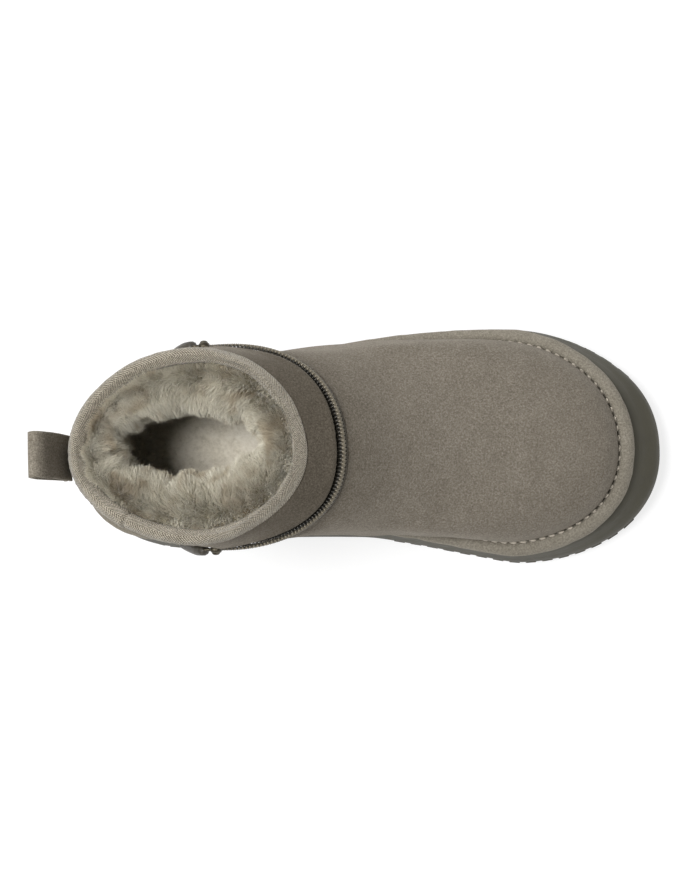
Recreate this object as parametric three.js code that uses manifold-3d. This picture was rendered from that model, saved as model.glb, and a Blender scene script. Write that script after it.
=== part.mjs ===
import * as THREE from 'three';
import { mergeVertices } from 'three/addons/utils/BufferGeometryUtils.js';
import Module from 'manifold-3d';

// Sheepskin boot for the left foot, on a platform sole.
// Millimetres. +X runs to the toe, +Y to the outside of the foot, +Z up.
// The origin is on the floor, in the middle of the heel's contact patch.

// ---------------------------------------------------------------- driving dimensions
const AROUND = 64;
const GAP = 0.3;
const HEEL_BACK = -26;
const TOE_FRONT = 210;
const HEEL_ROUND = 36;
const TOE_ROUND = 56;
const PLAN_SQUARE = 2.2;

const RAND_OUT = 6.3;
const RAND_OUT_TOE = 7.3;
const RAND_HEIGHT = 9;
const FLARE = 8.8;
const FLARE_TOE = 18;

const SHAFT_LEAN = 2;
const HEEL_STACK = 45;
const BALL_STACK = 31;

const INSOLE_THICK = 8;
const INSOLE_INSET = 9.2;

const BINDING_THICK = 1.2;
const ZIP_WIDTH = 6;
const ZIP_THICK = 1.8;
const ZIP_FRONT_V = 0.875;
const ZIP_SIDE_V = 0.8;
const ZIP_LATERAL_U = 0.2437;
const ZIP_MEDIAL_U = 0.749;
const OVERLAY_GAP = 0.45;

const SLIDER_LONG = 4.6;
const SLIDER_WIDE = 6.4;
const SLIDER_THICK = 4;
const PULL_WIDE = 7;
const PULL_THICK = 4;

const LOOP_WIDE = 19.6;
const LOOP_SHIFT = 0.8;

const LUG_PITCH = 7.6;
const LUG_GROOVE = 3;
const LUG_DEEP = 2.6;
const LUG_PLAIN_HALF = 14;

// ---------------------------------------------------------------- tables
// A row per station along the foot: half widths at the seam, half widths above it,
// and the height of the top of the sole.
const FOOT = [
  { x: -26, lateral: 32.0, medial: 29.5, lateralFull: 34.0, medialFull: 31.5, top: 45.0 },
  { x: 10, lateral: 33.5, medial: 29.0, lateralFull: 38.5, medialFull: 34.0, top: 44.5 },
  { x: 50, lateral: 38.5, medial: 26.0, lateralFull: 45.5, medialFull: 36.0, top: 41.5 },
  { x: 90, lateral: 45.0, medial: 27.0, lateralFull: 50.0, medialFull: 36.0, top: 35.5 },
  { x: 115, lateral: 48.2, medial: 31.0, lateralFull: 50.2, medialFull: 36.5, top: 32.0 },
  { x: 140, lateral: 49.3, medial: 36.5, lateralFull: 49.8, medialFull: 38.5, top: 30.0 },
  { x: 165, lateral: 49.0, medial: 41.0, lateralFull: 49.0, medialFull: 41.0, top: 30.0 },
  { x: 210, lateral: 45.5, medial: 42.0, lateralFull: 45.5, medialFull: 42.0, top: 34.5 },
];

// A row per ring of the upper, from the seam (v = 0) to the collar (v = 1).
// Heights are above the sole. "shaft" blends the foot's plan into the shaft's oval,
// and "square" is the power of the rounded ends.
const RINGS = [
  { v: 0, back: -26, backUp: 0.3, front: 210, frontUp: 0.3, width: 1, shaft: 0, heel: 36, toe: 56, square: 2.2, wall: 8 },
  { v: 0.1, back: -27.5, backUp: 11, front: 210.5, frontUp: 9, width: 1, shaft: 0, heel: 38, toe: 57, square: 2.19, wall: 8 },
  { v: 0.2, back: -27.8, backUp: 22, front: 207.5, frontUp: 20.5, width: 1, shaft: 0.02, heel: 40, toe: 58, square: 2.18, wall: 8 },
  { v: 0.3, back: -27.2, backUp: 33, front: 196, frontUp: 31, width: 0.98, shaft: 0.06, heel: 42, toe: 60, square: 2.17, wall: 8.5 },
  { v: 0.4, back: -26, backUp: 43, front: 180, frontUp: 39, width: 0.95, shaft: 0.15, heel: 44, toe: 62, square: 2.16, wall: 9.5 },
  { v: 0.5, back: -24.5, backUp: 52, front: 160, frontUp: 46, width: 0.92, shaft: 0.28, heel: 47, toe: 62, square: 2.16, wall: 11.5 },
  { v: 0.6, back: -22.6, backUp: 60.5, front: 139.5, frontUp: 54, width: 0.9, shaft: 0.45, heel: 50, toe: 60, square: 2.16, wall: 13 },
  { v: 0.7, back: -20.5, backUp: 68.5, front: 122.5, frontUp: 63, width: 0.9, shaft: 0.65, heel: 54, toe: 59, square: 2.15, wall: 15 },
  { v: 0.8, back: -18.3, backUp: 76, front: 109, frontUp: 72.8, width: 0.9, shaft: 0.85, heel: 57, toe: 60, square: 2.08, wall: 15.5 },
  { v: 0.9, back: -15.9, backUp: 83, front: 94.5, frontUp: 84, width: 0.9, shaft: 0.97, heel: 57, toe: 54, square: 2.04, wall: 12.5 },
  { v: 0.95, back: -14.7, backUp: 86.3, front: 86.6, frontUp: 90.2, width: 0.9, shaft: 0.99, heel: 55, toe: 48, square: 2.02, wall: 8 },
  { v: 1, back: -13.6, backUp: 89.5, front: 81.8, frontUp: 95, width: 0.9, shaft: 1, heel: 54, toe: 45, square: 2, wall: 3.2 },
];

// Half widths of the shaft, low down at the zip and at the rim of the collar.
const SHAFT = [
  { x: -20, lateral: 40, medial: 36.5 },
  { x: 20, lateral: 43, medial: 39 },
  { x: 50, lateral: 44.4, medial: 40.6 },
  { x: 75, lateral: 44, medial: 40.2 },
  { x: 98, lateral: 42.8, medial: 38.5 },
];
const COLLAR = [
  { x: -20, lateral: 39.5, medial: 33 },
  { x: 0, lateral: 40.8, medial: 35.5 },
  { x: 20, lateral: 41.4, medial: 36.8 },
  { x: 38, lateral: 41.5, medial: 37.2 },
  { x: 50, lateral: 41.5, medial: 36.4 },
  { x: 65, lateral: 41.2, medial: 34 },
  { x: 85, lateral: 40.5, medial: 31.5 },
];

// The underside of the sole: heel, arch and toe spring.
const GROUND = [
  { x: -36, up: 1.6 },
  { x: -22, up: 0 },
  { x: 45, up: 0 },
  { x: 72, up: 3 },
  { x: 90, up: 2.6 },
  { x: 110, up: 0 },
  { x: 172, up: 0 },
  { x: 200, up: 2.6 },
  { x: 228, up: 9.5 },
];

// The sole's side wall: how far up it is, and how much of the flare it has.
const SIDE_WALL = [
  { up: 0.0, flare: 0.72 },
  { up: 0.08, flare: 1.0 },
  { up: 0.3, flare: 0.92 },
  { up: 0.62, flare: 0.5 },
  { up: 0.92, flare: 0.08 },
  { up: 1.0, flare: -0.12 },
];

// The heel loop in side view: the outside of the folded strip, and the eye in it.
const LOOP_OUTSIDE = [
  { x: -27, z: 86 },
  { x: -26, z: 93 },
  { x: -25.4, z: 98 },
  { x: -25.6, z: 104 },
  { x: -25.9, z: 112 },
  { x: -26.2, z: 121 },
  { x: -27.4, z: 128.5 },
  { x: -30.6, z: 132.6 },
  { x: -33.8, z: 130.5 },
  { x: -35.2, z: 124 },
  { x: -34.4, z: 114 },
  { x: -33, z: 105 },
  { x: -31.4, z: 98 },
  { x: -30.6, z: 93 },
  { x: -31.2, z: 86 },
];
const LOOP_EYE = [
  { x: -28.6, z: 101 },
  { x: -27.8, z: 106 },
  { x: -27.9, z: 113 },
  { x: -28.2, z: 121 },
  { x: -29, z: 127.3 },
  { x: -30.8, z: 130.5 },
  { x: -32.5, z: 129 },
  { x: -33.2, z: 123.8 },
  { x: -32.4, z: 114 },
  { x: -31, z: 105.5 },
];

// ---------------------------------------------------------------- curves from the tables
function curveOf(table, key, value) {
  const xs = table.map((row) => row[key]);
  const ys = table.map((row) => row[value]);
  const last = xs.length - 1;
  const slopes = [];
  for (let i = 0; i < last; i += 1) {
    slopes.push((ys[i + 1] - ys[i]) / (xs[i + 1] - xs[i]));
  }
  const tangents = [slopes[0]];
  for (let i = 1; i < last; i += 1) {
    const before = slopes[i - 1];
    const after = slopes[i];
    if (before * after <= 0) {
      tangents.push(0);
    } else {
      const long = xs[i + 1] - xs[i];
      const short = xs[i] - xs[i - 1];
      const a = 2 * long + short;
      const b = long + 2 * short;
      tangents.push((a + b) / (a / before + b / after));
    }
  }
  tangents.push(slopes[last - 1]);
  return (at) => {
    const x = Math.min(Math.max(at, xs[0]), xs[last]);
    let i = 0;
    while (i < last - 1 && x > xs[i + 1]) {
      i += 1;
    }
    const step = xs[i + 1] - xs[i];
    const t = (x - xs[i]) / step;
    const r = 1 - t;
    const start = ys[i] * (1 + 2 * t) * r * r + tangents[i] * step * t * r * r;
    const end = ys[i + 1] * t * t * (3 - 2 * t) - tangents[i + 1] * step * t * t * r;
    return start + end;
  };
}

function smooth(t) {
  const c = Math.min(Math.max(t, 0), 1);
  return c * c * (3 - 2 * c);
}

function mix(a, b, t) {
  return a + (b - a) * t;
}

const seamLateral = curveOf(FOOT, 'x', 'lateral');
const seamMedial = curveOf(FOOT, 'x', 'medial');
const fullLateral = curveOf(FOOT, 'x', 'lateralFull');
const fullMedial = curveOf(FOOT, 'x', 'medialFull');
const soleTop = curveOf(FOOT, 'x', 'top');
const ground = curveOf(GROUND, 'x', 'up');
const shaftLateral = curveOf(SHAFT, 'x', 'lateral');
const shaftMedial = curveOf(SHAFT, 'x', 'medial');
const collarLateral = curveOf(COLLAR, 'x', 'lateral');
const collarMedial = curveOf(COLLAR, 'x', 'medial');
const ring = {};
for (const name of Object.keys(RINGS[0])) {
  ring[name] = curveOf(RINGS, 'v', name);
}

// How far a rounded end has closed in: 1 on the straight, 0 at the tip.
function endCap(distance, length, square) {
  const t = Math.min(Math.max(distance / length, 0), 1);
  return (1 - t ** square) ** (1 / square);
}

// u runs round the boot: 0 at the back, 0.25 outside, 0.5 at the toe, 0.75 inside.
function along(u) {
  return (1 - Math.cos(2 * Math.PI * u)) / 2;
}

function isLateral(u) {
  return ((u % 1) + 1) % 1 < 0.5;
}

// The foot's plan at the seam, pushed out by "out" (and by "outToe" at the toe).
function plan(u, out, outToe) {
  const x = mix(HEEL_BACK - out, TOE_FRONT + outToe, along(u));
  const half = (isLateral(u) ? seamLateral(x) : seamMedial(x)) + out;
  const back = endCap(HEEL_BACK + HEEL_ROUND - x, HEEL_ROUND + out, PLAN_SQUARE);
  const front = endCap(x - TOE_FRONT + TOE_ROUND, TOE_ROUND + outToe, PLAN_SQUARE);
  const y = half * back * front * (isLateral(u) ? 1 : -1);
  return new THREE.Vector3(x, y, 0);
}

// The outer surface of the upper.
function upperAt(u, v) {
  const s = along(u);
  const x = mix(ring.back(v), ring.front(v), s);
  const side = isLateral(u);
  const rise = smooth(v / 0.25);
  const seam = side ? seamLateral(x) : seamMedial(x);
  const full = side ? fullLateral(x) : fullMedial(x);
  const foot = mix(seam, full, rise) * ring.width(v);
  const toCollar = Math.min(Math.max((v - 0.75) / 0.25, 0), 1);
  const low = side ? shaftLateral(x) : shaftMedial(x);
  const high = side ? collarLateral(x) : collarMedial(x);
  const half = mix(foot, mix(low, high, toCollar), ring.shaft(v));
  const square = ring.square(v);
  const back = endCap(ring.back(v) + ring.heel(v) - x, ring.heel(v), square);
  const front = endCap(x - ring.front(v) + ring.toe(v), ring.toe(v), square);
  const lean = SHAFT_LEAN * ring.shaft(v) * s * s;
  const y = half * back * front * (side ? 1 : -1) - lean;
  const level = mix(HEEL_STACK, BALL_STACK, s);
  const bottom = mix(soleTop(x), level, smooth(v / 0.5));
  const base = mix(bottom, HEEL_STACK, smooth((v - 0.5) / 0.5));
  const z = base + mix(ring.backUp(v), ring.frontUp(v), s);
  return new THREE.Vector3(x, y, z);
}

function upperNormal(u, v) {
  const du = 0.002;
  const dv = 0.004;
  const low = Math.max(v - dv, 0);
  const high = Math.min(v + dv, 1);
  const alongU = upperAt(u + du, v).sub(upperAt(u - du, v));
  const alongV = upperAt(u, high).sub(upperAt(u, low));
  return alongV.cross(alongU).normalize();
}

function planNormal(u) {
  const step = plan(u + 0.002, 0, 0).sub(plan(u - 0.002, 0, 0));
  return new THREE.Vector3(-step.y, step.x, 0).normalize();
}

function offUpper(u, v, distance) {
  return upperAt(u, v).addScaledVector(upperNormal(u, v), distance);
}

// The fleece side of the upper; level with the sole at the bottom.
function insideAt(u, v) {
  const settle = smooth(v / 0.1);
  const flat = planNormal(u).lerp(upperNormal(u, v), settle).normalize();
  const point = upperAt(u, v).addScaledVector(flat, -ring.wall(v));
  const floor = soleTop(point.x) + GAP;
  point.z = mix(floor + v * 100, point.z, settle);
  return point;
}

// ---------------------------------------------------------------- solids from sections
function solidFrom(points, triangles) {
  const geometry = new THREE.BufferGeometry();
  const flat = points.flatMap((p) => [p.x, p.y, p.z]);
  geometry.setAttribute('position', new THREE.Float32BufferAttribute(flat, 3));
  geometry.setIndex(triangles.flat());
  geometry.computeVertexNormals();
  return geometry;
}

function quad(list, a, b, c, d) {
  list.push([a, b, c]);
  list.push([a, c, d]);
}

// Closed sections placed one after another round a closed ring.
function ringSolid(sections) {
  const count = sections.length;
  const size = sections[0].length;
  const triangles = [];
  for (let i = 0; i < count; i += 1) {
    const next = (i + 1) % count;
    for (let j = 0; j < size; j += 1) {
      const k = (j + 1) % size;
      quad(triangles, i * size + j, i * size + k, next * size + k, next * size + j);
    }
  }
  return solidFrom(sections.flat(), triangles);
}

// Closed convex sections along an open path, with flat ends.
function barSolid(sections) {
  const count = sections.length;
  const size = sections[0].length;
  const triangles = [];
  for (let i = 0; i < count - 1; i += 1) {
    for (let j = 0; j < size; j += 1) {
      const k = (j + 1) % size;
      const next = (i + 1) * size;
      quad(triangles, i * size + j, next + j, next + k, i * size + k);
    }
  }
  const end = (count - 1) * size;
  for (let j = 1; j < size - 1; j += 1) {
    triangles.push([0, j, j + 1]);
    triangles.push([end, end + j + 1, end + j]);
  }
  return solidFrom(sections.flat(), triangles);
}

// Rings stacked from the bottom up, closed by strips across the foot.
function stackSolid(rings) {
  const size = rings[0].length;
  const triangles = [];
  for (let i = 0; i < rings.length - 1; i += 1) {
    for (let j = 0; j < size; j += 1) {
      const k = (j + 1) % size;
      const next = (i + 1) * size;
      quad(triangles, i * size + j, next + j, next + k, i * size + k);
    }
  }
  const top = (rings.length - 1) * size;
  const half = size / 2;
  for (let j = 0; j < half; j += 1) {
    const a = j;
    const b = j + 1;
    const c = size - j - 1;
    const d = (size - j) % size;
    if (j === 0) {
      triangles.push([a, b, c]);
      triangles.push([top + a, top + c, top + b]);
    } else if (j === half - 1) {
      triangles.push([a, b, d]);
      triangles.push([top + a, top + d, top + b]);
    } else {
      quad(triangles, a, b, c, d);
      quad(triangles, top + a, top + d, top + c, top + b);
    }
  }
  return solidFrom(rings.flat(), triangles);
}

function around(make) {
  const list = [];
  for (let i = 0; i < AROUND; i += 1) {
    list.push(make(i / AROUND));
  }
  return list;
}

// ---------------------------------------------------------------- booleans
const wasm = await Module();
wasm.setup();

function toSolid(geometry) {
  const bare = geometry.clone();
  bare.deleteAttribute('normal');
  bare.deleteAttribute('uv');
  const merged = mergeVertices(bare, 1e-4);
  const vertProperties = new Float32Array(merged.attributes.position.array);
  const triVerts = new Uint32Array(merged.index.array);
  return new wasm.Manifold(new wasm.Mesh({ numProp: 3, vertProperties, triVerts }));
}

function toGeometry(solid) {
  const mesh = solid.getMesh();
  const geometry = new THREE.BufferGeometry();
  geometry.setAttribute('position', new THREE.BufferAttribute(mesh.vertProperties, 3));
  geometry.setIndex(new THREE.BufferAttribute(mesh.triVerts, 1));
  geometry.computeVertexNormals();
  return geometry;
}

// ---------------------------------------------------------------- sub-parts
// One moulded unit, flared to the floor, with cross lugs down both edges.
function platformSole() {
  const rings = SIDE_WALL.map((row) => around((u) => {
    const out = mix(RAND_OUT - 0.5, FLARE, row.flare);
    const outToe = mix(RAND_OUT_TOE - 0.5, FLARE_TOE, row.flare);
    const point = plan(u, out, outToe);
    point.z = mix(ground(point.x), soleTop(point.x), row.up);
    return point;
  }));
  let sole = toSolid(stackSolid(rings));
  const reach = 60;
  const first = Math.ceil(-30 / LUG_PITCH);
  const last = Math.floor(214 / LUG_PITCH);
  for (let i = first; i <= last; i += 1) {
    const x = (i + 0.5) * LUG_PITCH;
    const inArch = x > 48 && x < 106;
    if (!inArch && x < 218) {
      for (const side of [-1, 1]) {
        const box = new THREE.BoxGeometry(LUG_GROOVE, reach, 12);
        const y = side * (LUG_PLAIN_HALF + reach / 2);
        box.translate(x, y, ground(x) + LUG_DEEP - 6);
        sole = sole.subtract(toSolid(box));
      }
    }
  }
  return toGeometry(sole);
}

// The rolled band that covers the seam between upper and sole.
function randBand() {
  const sections = around((u) => {
    const seam = plan(u, 0, 0);
    const outer = (share, up) => {
      const inner = upperAt(u, 0.07).addScaledVector(planNormal(u), 0.9);
      const rim = plan(u, RAND_OUT, RAND_OUT_TOE);
      const point = inner.lerp(rim, share);
      point.z = soleTop(point.x) + up;
      return point;
    };
    const hugging = (v, up) => {
      const point = upperAt(u, v).addScaledVector(planNormal(u), 0.5);
      point.z = soleTop(point.x) + up;
      return point;
    };
    const base = plan(u, RAND_OUT - 0.7, RAND_OUT_TOE - 0.7);
    base.z = soleTop(base.x) + GAP + 0.15;
    return [
      hugging(0, GAP + 0.15),
      base,
      outer(1, 2.6),
      outer(1, 5.2),
      outer(0.78, 7.9),
      outer(0.4, RAND_HEIGHT),
      outer(0, RAND_HEIGHT - 0.9),
      hugging(0.04, 4.2),
    ];
  });
  return ringSolid(sections);
}

// One hollow solid, open at the collar and underneath.
function hollowUpper() {
  const outerSteps = [0, 0.05, 0.1, 0.15, 0.2, 0.25, 0.3, 0.36, 0.43, 0.5, 0.57, 0.64, 0.71, 0.78, 0.84, 0.89, 0.93, 0.965, 1];
  const innerSteps = [1, 0.965, 0.93, 0.88, 0.8, 0.7, 0.6, 0.5, 0.4, 0.3, 0.2, 0.1, 0];
  const sections = around((u) => {
    const outside = outerSteps.map((v) => upperAt(u, v));
    const inside = innerSteps.map((v) => insideAt(u, v));
    return outside.concat(inside);
  });
  return ringSolid(sections);
}

// Felted fleece footbed inside the upper.
function insoleBoard() {
  const level = (inset, up) => around((u) => {
    const point = plan(u, -inset, -inset);
    point.z = soleTop(point.x) + up;
    return point;
  });
  const rings = [
    level(INSOLE_INSET + 0.6, GAP + 0.1),
    level(INSOLE_INSET, 1.4),
    level(INSOLE_INSET, INSOLE_THICK - 2),
    level(INSOLE_INSET + 1.4, INSOLE_THICK),
  ];
  return stackSolid(rings);
}

// Knitted tape folded over the rim of the collar.
function collarBinding() {
  const thick = BINDING_THICK + GAP;
  const sections = around((u) => {
    const legV = mix(0.925, 0.962, along(u));
    const rim = upperAt(u, 1);
    const inner = insideAt(u, 1);
    const flat = inner.clone().sub(rim).setZ(0).normalize();
    const outside = (out) => offUpper(u, legV, out);
    const within = (inset) => insideAt(u, 0.97).addScaledVector(flat, inset);
    const beside = (at, by, up) => at.clone().addScaledVector(flat, by).add(new THREE.Vector3(0, 0, up));
    const over = (share, up) => beside(rim.clone().lerp(inner, share), 0, up);
    return [
      outside(GAP + 0.05),
      outside(thick),
      beside(rim, -thick, 0.5),
      over(0, 1.4),
      over(0.5, 1.9),
      over(1, 1.4),
      beside(inner, thick, 0.2),
      within(thick),
      within(GAP + 0.1),
      beside(inner, GAP + 0.1, GAP),
      beside(rim, -GAP - 0.05, 0.8),
    ];
  });
  return ringSolid(sections);
}

// ---------------------------------------------------------------- zip round the shaft
function zipV(u) {
  const fromFront = Math.abs(u - 0.5) / 0.25;
  return mix(ZIP_FRONT_V, ZIP_SIDE_V, smooth(fromFront));
}

// A frame on the upper: point, outward normal, travel direction and the direction across it.
function frameOn(path, t) {
  const here = path(t);
  const step = 0.004;
  const ahead = path(t + step);
  const behind = path(t - step);
  const point = upperAt(here.u, here.v);
  const travel = upperAt(ahead.u, ahead.v).sub(upperAt(behind.u, behind.v)).normalize();
  const out = upperNormal(here.u, here.v);
  const across = new THREE.Vector3().crossVectors(out, travel).normalize();
  return { point, out, travel, across };
}

function onFrame(frame, alongBy, acrossBy, outBy) {
  return frame.point.clone()
    .addScaledVector(frame.travel, alongBy)
    .addScaledVector(frame.across, acrossBy)
    .addScaledVector(frame.out, outBy);
}

function flatSection(frame, wide, low, high) {
  const half = wide / 2;
  return [
    onFrame(frame, 0, -half, low),
    onFrame(frame, 0, -half, high * 0.7),
    onFrame(frame, 0, -half * 0.6, high),
    onFrame(frame, 0, half * 0.6, high),
    onFrame(frame, 0, half, high * 0.7),
    onFrame(frame, 0, half, low),
  ];
}

function zipPath(t) {
  const u = mix(ZIP_LATERAL_U, ZIP_MEDIAL_U, t);
  return { u, v: zipV(u) };
}

function zipChain() {
  const steps = 44;
  const sections = [];
  for (let i = 0; i <= steps; i += 1) {
    const frame = frameOn(zipPath, i / steps);
    sections.push(flatSection(frame, ZIP_WIDTH, OVERLAY_GAP, OVERLAY_GAP + ZIP_THICK));
  }
  return barSolid(sections);
}

// The metal slider that closes each end of the zip.
function zipSlider(end) {
  const frame = frameOn(zipPath, end);
  const away = end < 0.5 ? -1 : 1;
  const profile = [
    { at: 0, wide: 0.86, high: 0.8 },
    { at: 0.2, wide: 1, high: 1 },
    { at: 0.75, wide: 0.94, high: 1 },
    { at: 1, wide: 0.6, high: 0.7 },
  ];
  const sections = profile.map((row) => {
    const shift = away * (GAP + row.at * SLIDER_LONG);
    const middle = { ...frame, point: onFrame(frame, shift, 0, 0) };
    const high = OVERLAY_GAP + SLIDER_THICK * row.high;
    return flatSection(middle, SLIDER_WIDE * row.wide, OVERLAY_GAP, high);
  });
  return barSolid(away < 0 ? sections.reverse() : sections);
}

// Leather pull lying back and down from the slider, following the shaft.
function zipPull(end) {
  const start = zipPath(end);
  const away = end < 0.5 ? -1 : 1;
  const path = (t) => ({ u: start.u + away * (0.0185 + 0.05 * t), v: start.v - 0.21 * t });
  const steps = 10;
  const sections = [];
  for (let i = 0; i <= steps; i += 1) {
    const t = i / steps;
    const frame = frameOn(path, t);
    const tail = Math.sqrt(Math.max(1 - (Math.max(t - 0.85, 0) / 0.15) ** 2, 0.2));
    const neck = mix(0.6, 1, smooth(t / 0.2));
    const wide = PULL_WIDE * tail * neck;
    sections.push(flatSection(frame, wide, OVERLAY_GAP, OVERLAY_GAP + PULL_THICK));
  }
  return barSolid(sections);
}

// ---------------------------------------------------------------- heel loop
function heelLoop() {
  const place = (row) => new THREE.Vector2(row.x, row.z);
  const outline = new THREE.Shape();
  outline.moveTo(LOOP_OUTSIDE[0].x, LOOP_OUTSIDE[0].z);
  outline.splineThru(LOOP_OUTSIDE.slice(1).map(place));
  outline.closePath();
  const eye = new THREE.Path();
  eye.moveTo(LOOP_EYE[0].x, LOOP_EYE[0].z);
  eye.splineThru(LOOP_EYE.slice(1).concat([LOOP_EYE[0]]).map(place));
  outline.holes.push(eye);
  const settings = { depth: LOOP_WIDE, steps: 6, bevelEnabled: false, curveSegments: 2 };
  const geometry = new THREE.ExtrudeGeometry(outline, settings);
  geometry.rotateX(Math.PI / 2);
  geometry.translate(0, LOOP_WIDE / 2 + LOOP_SHIFT, 0);
  const position = geometry.attributes.position;
  for (let i = 0; i < position.count; i += 1) {
    const y = position.getY(i);
    const hug = 1 - smooth((position.getZ(i) - 98) / 20);
    position.setX(i, position.getX(i) + (hug * y * y) / 150);
  }
  return geometry;
}

// ---------------------------------------------------------------- materials and assembly
const SUEDE = { color: 0x79726a, roughness: 0.95, metalness: 0 };
const RAND_SUEDE = { color: 0x7f796f, roughness: 0.95, metalness: 0 };
const OUTSOLE = { color: 0x504e45, roughness: 0.7, metalness: 0 };
const FELT = { color: 0xa8a592, roughness: 1, metalness: 0 };
const TAPE = { color: 0x989284, roughness: 0.95, metalness: 0 };
const COIL = { color: 0x3a352c, roughness: 0.6, metalness: 0 };
const METAL = { color: 0x4a463e, roughness: 0.35, metalness: 1 };
const LEATHER = { color: 0x3c372e, roughness: 0.55, metalness: 0 };

const group = new THREE.Group();

function add(name, geometry, look) {
  const mesh = new THREE.Mesh(geometry, new THREE.MeshStandardMaterial(look));
  mesh.name = name;
  group.add(mesh);
}

add('platform_sole', platformSole(), OUTSOLE);
add('rand', randBand(), RAND_SUEDE);
add('upper', hollowUpper(), SUEDE);
add('insole', insoleBoard(), FELT);
add('collar_binding', collarBinding(), TAPE);
add('zip_chain', zipChain(), COIL);
add('zip_slider_lateral', zipSlider(0), METAL);
add('zip_slider_medial', zipSlider(1), METAL);
add('zip_pull_lateral', zipPull(0), LEATHER);
add('zip_pull_medial', zipPull(1), LEATHER);
add('heel_pull_loop', heelLoop(), SUEDE);

export default group;
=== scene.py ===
import math

import bpy
import numpy as np
from mathutils import Matrix, Vector


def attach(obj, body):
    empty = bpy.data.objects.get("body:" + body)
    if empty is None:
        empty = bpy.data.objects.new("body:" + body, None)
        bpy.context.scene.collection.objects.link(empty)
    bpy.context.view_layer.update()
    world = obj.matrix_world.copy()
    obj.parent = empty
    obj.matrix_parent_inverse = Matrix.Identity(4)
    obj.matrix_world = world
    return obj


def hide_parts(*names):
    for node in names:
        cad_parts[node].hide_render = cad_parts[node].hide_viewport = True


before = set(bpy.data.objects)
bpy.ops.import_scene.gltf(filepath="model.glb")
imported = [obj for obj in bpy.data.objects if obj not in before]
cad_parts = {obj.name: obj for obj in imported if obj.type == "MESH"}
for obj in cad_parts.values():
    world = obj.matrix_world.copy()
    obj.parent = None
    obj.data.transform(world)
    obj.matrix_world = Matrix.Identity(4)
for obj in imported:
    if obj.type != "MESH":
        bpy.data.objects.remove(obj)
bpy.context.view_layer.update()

# Sheepskin boot, left foot. The shape functions work in millimetres in the frame's own axes:
# +X to the toe, +Y to the outside of the foot, +Z up, with the origin under the heel.
MM = 0.001
SEED = 11
UP = np.array([0, 0, 1.0])
LEVEL = np.array([1.0, 1.0, 0])  # multiplied into a direction, it takes the height out

# ---- sizes, as in the solid model
HEEL_BACK, TOE_FRONT = -26.0, 210.0
HEEL_ROUND, TOE_ROUND, PLAN_SQUARE = 36.0, 56.0, 2.2
RAND_OUT, RAND_OUT_TOE = 6.3, 7.3
FLARE, FLARE_TOE = 8.8, 18.0
SHAFT_LEAN = 2.0
HEEL_STACK, BALL_STACK = 45.0, 31.0
INSOLE_INSET, INSOLE_THICK = 9.2, 8.0
ZIP_FRONT_V, ZIP_SIDE_V = 0.875, 0.8
ZIP_LATERAL_U, ZIP_MEDIAL_U = 0.2437, 0.749
LOOP_WIDE, LOOP_SHIFT = 19.6, 0.8
LUG_PITCH, LUG_GROOVE, LUG_DEEP = 7.6, 3.0, 2.6

FOOT_COLUMNS = ("x", "lateral", "medial", "lateral_full", "medial_full", "top")
FOOT = (
    (-26, 32.0, 29.5, 34.0, 31.5, 45.0),
    (10, 33.5, 29.0, 38.5, 34.0, 44.5),
    (50, 38.5, 26.0, 45.5, 36.0, 41.5),
    (90, 45.0, 27.0, 50.0, 36.0, 35.5),
    (115, 48.2, 31.0, 50.2, 36.5, 32.0),
    (140, 49.3, 36.5, 49.8, 38.5, 30.0),
    (165, 49.0, 41.0, 49.0, 41.0, 30.0),
    (210, 45.5, 42.0, 45.5, 42.0, 34.5),
)
RING_COLUMNS = (
    "v", "back", "back_up", "front", "front_up", "width", "shaft", "heel", "toe", "square", "wall",
)
RINGS = (
    (0.0, -26.0, 0.3, 210.0, 0.3, 1.0, 0.0, 36, 56, 2.2, 8),
    (0.1, -27.5, 11, 210.5, 9, 1.0, 0.0, 38, 57, 2.19, 8),
    (0.2, -27.8, 22, 207.5, 20.5, 1.0, 0.02, 40, 58, 2.18, 8),
    (0.3, -27.2, 33, 196.0, 31, 0.98, 0.06, 42, 60, 2.17, 8.5),
    (0.4, -26.0, 43, 180.0, 39, 0.95, 0.15, 44, 62, 2.16, 9.5),
    (0.5, -24.5, 52, 160.0, 46, 0.92, 0.28, 47, 62, 2.16, 11.5),
    (0.6, -22.6, 60.5, 139.5, 54, 0.9, 0.45, 50, 60, 2.16, 13),
    (0.7, -20.5, 68.5, 122.5, 63, 0.9, 0.65, 54, 59, 2.15, 15),
    (0.8, -18.3, 76, 109.0, 72.8, 0.9, 0.85, 57, 60, 2.08, 15.5),
    (0.9, -15.9, 83, 94.5, 84, 0.9, 0.97, 57, 54, 2.04, 12.5),
    (0.95, -14.7, 86.3, 86.6, 90.2, 0.9, 0.99, 55, 48, 2.02, 8),
    (1.0, -13.6, 89.5, 81.8, 95, 0.9, 1.0, 54, 45, 2.0, 3.2),
)
OVAL_COLUMNS = ("x", "lateral", "medial")
SHAFT = ((-20, 40, 36.5), (20, 43, 39), (50, 44.4, 40.6), (75, 44, 40.2), (98, 42.8, 38.5))
COLLAR = (
    (-20, 39.5, 33), (0, 40.8, 35.5), (20, 41.4, 36.8), (38, 41.5, 37.2), (50, 41.5, 36.4), (65, 41.2, 34),
    (85, 40.5, 31.5),
)
GROUND = ((-36, 1.6), (-22, 0), (45, 0), (72, 3), (90, 2.6), (110, 0), (172, 0), (200, 2.6), (228, 9.5))
SIDE_WALL = ((0.0, 0.72), (0.08, 1.0), (0.3, 0.92), (0.62, 0.5), (0.92, 0.08), (1.0, -0.12))


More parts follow.
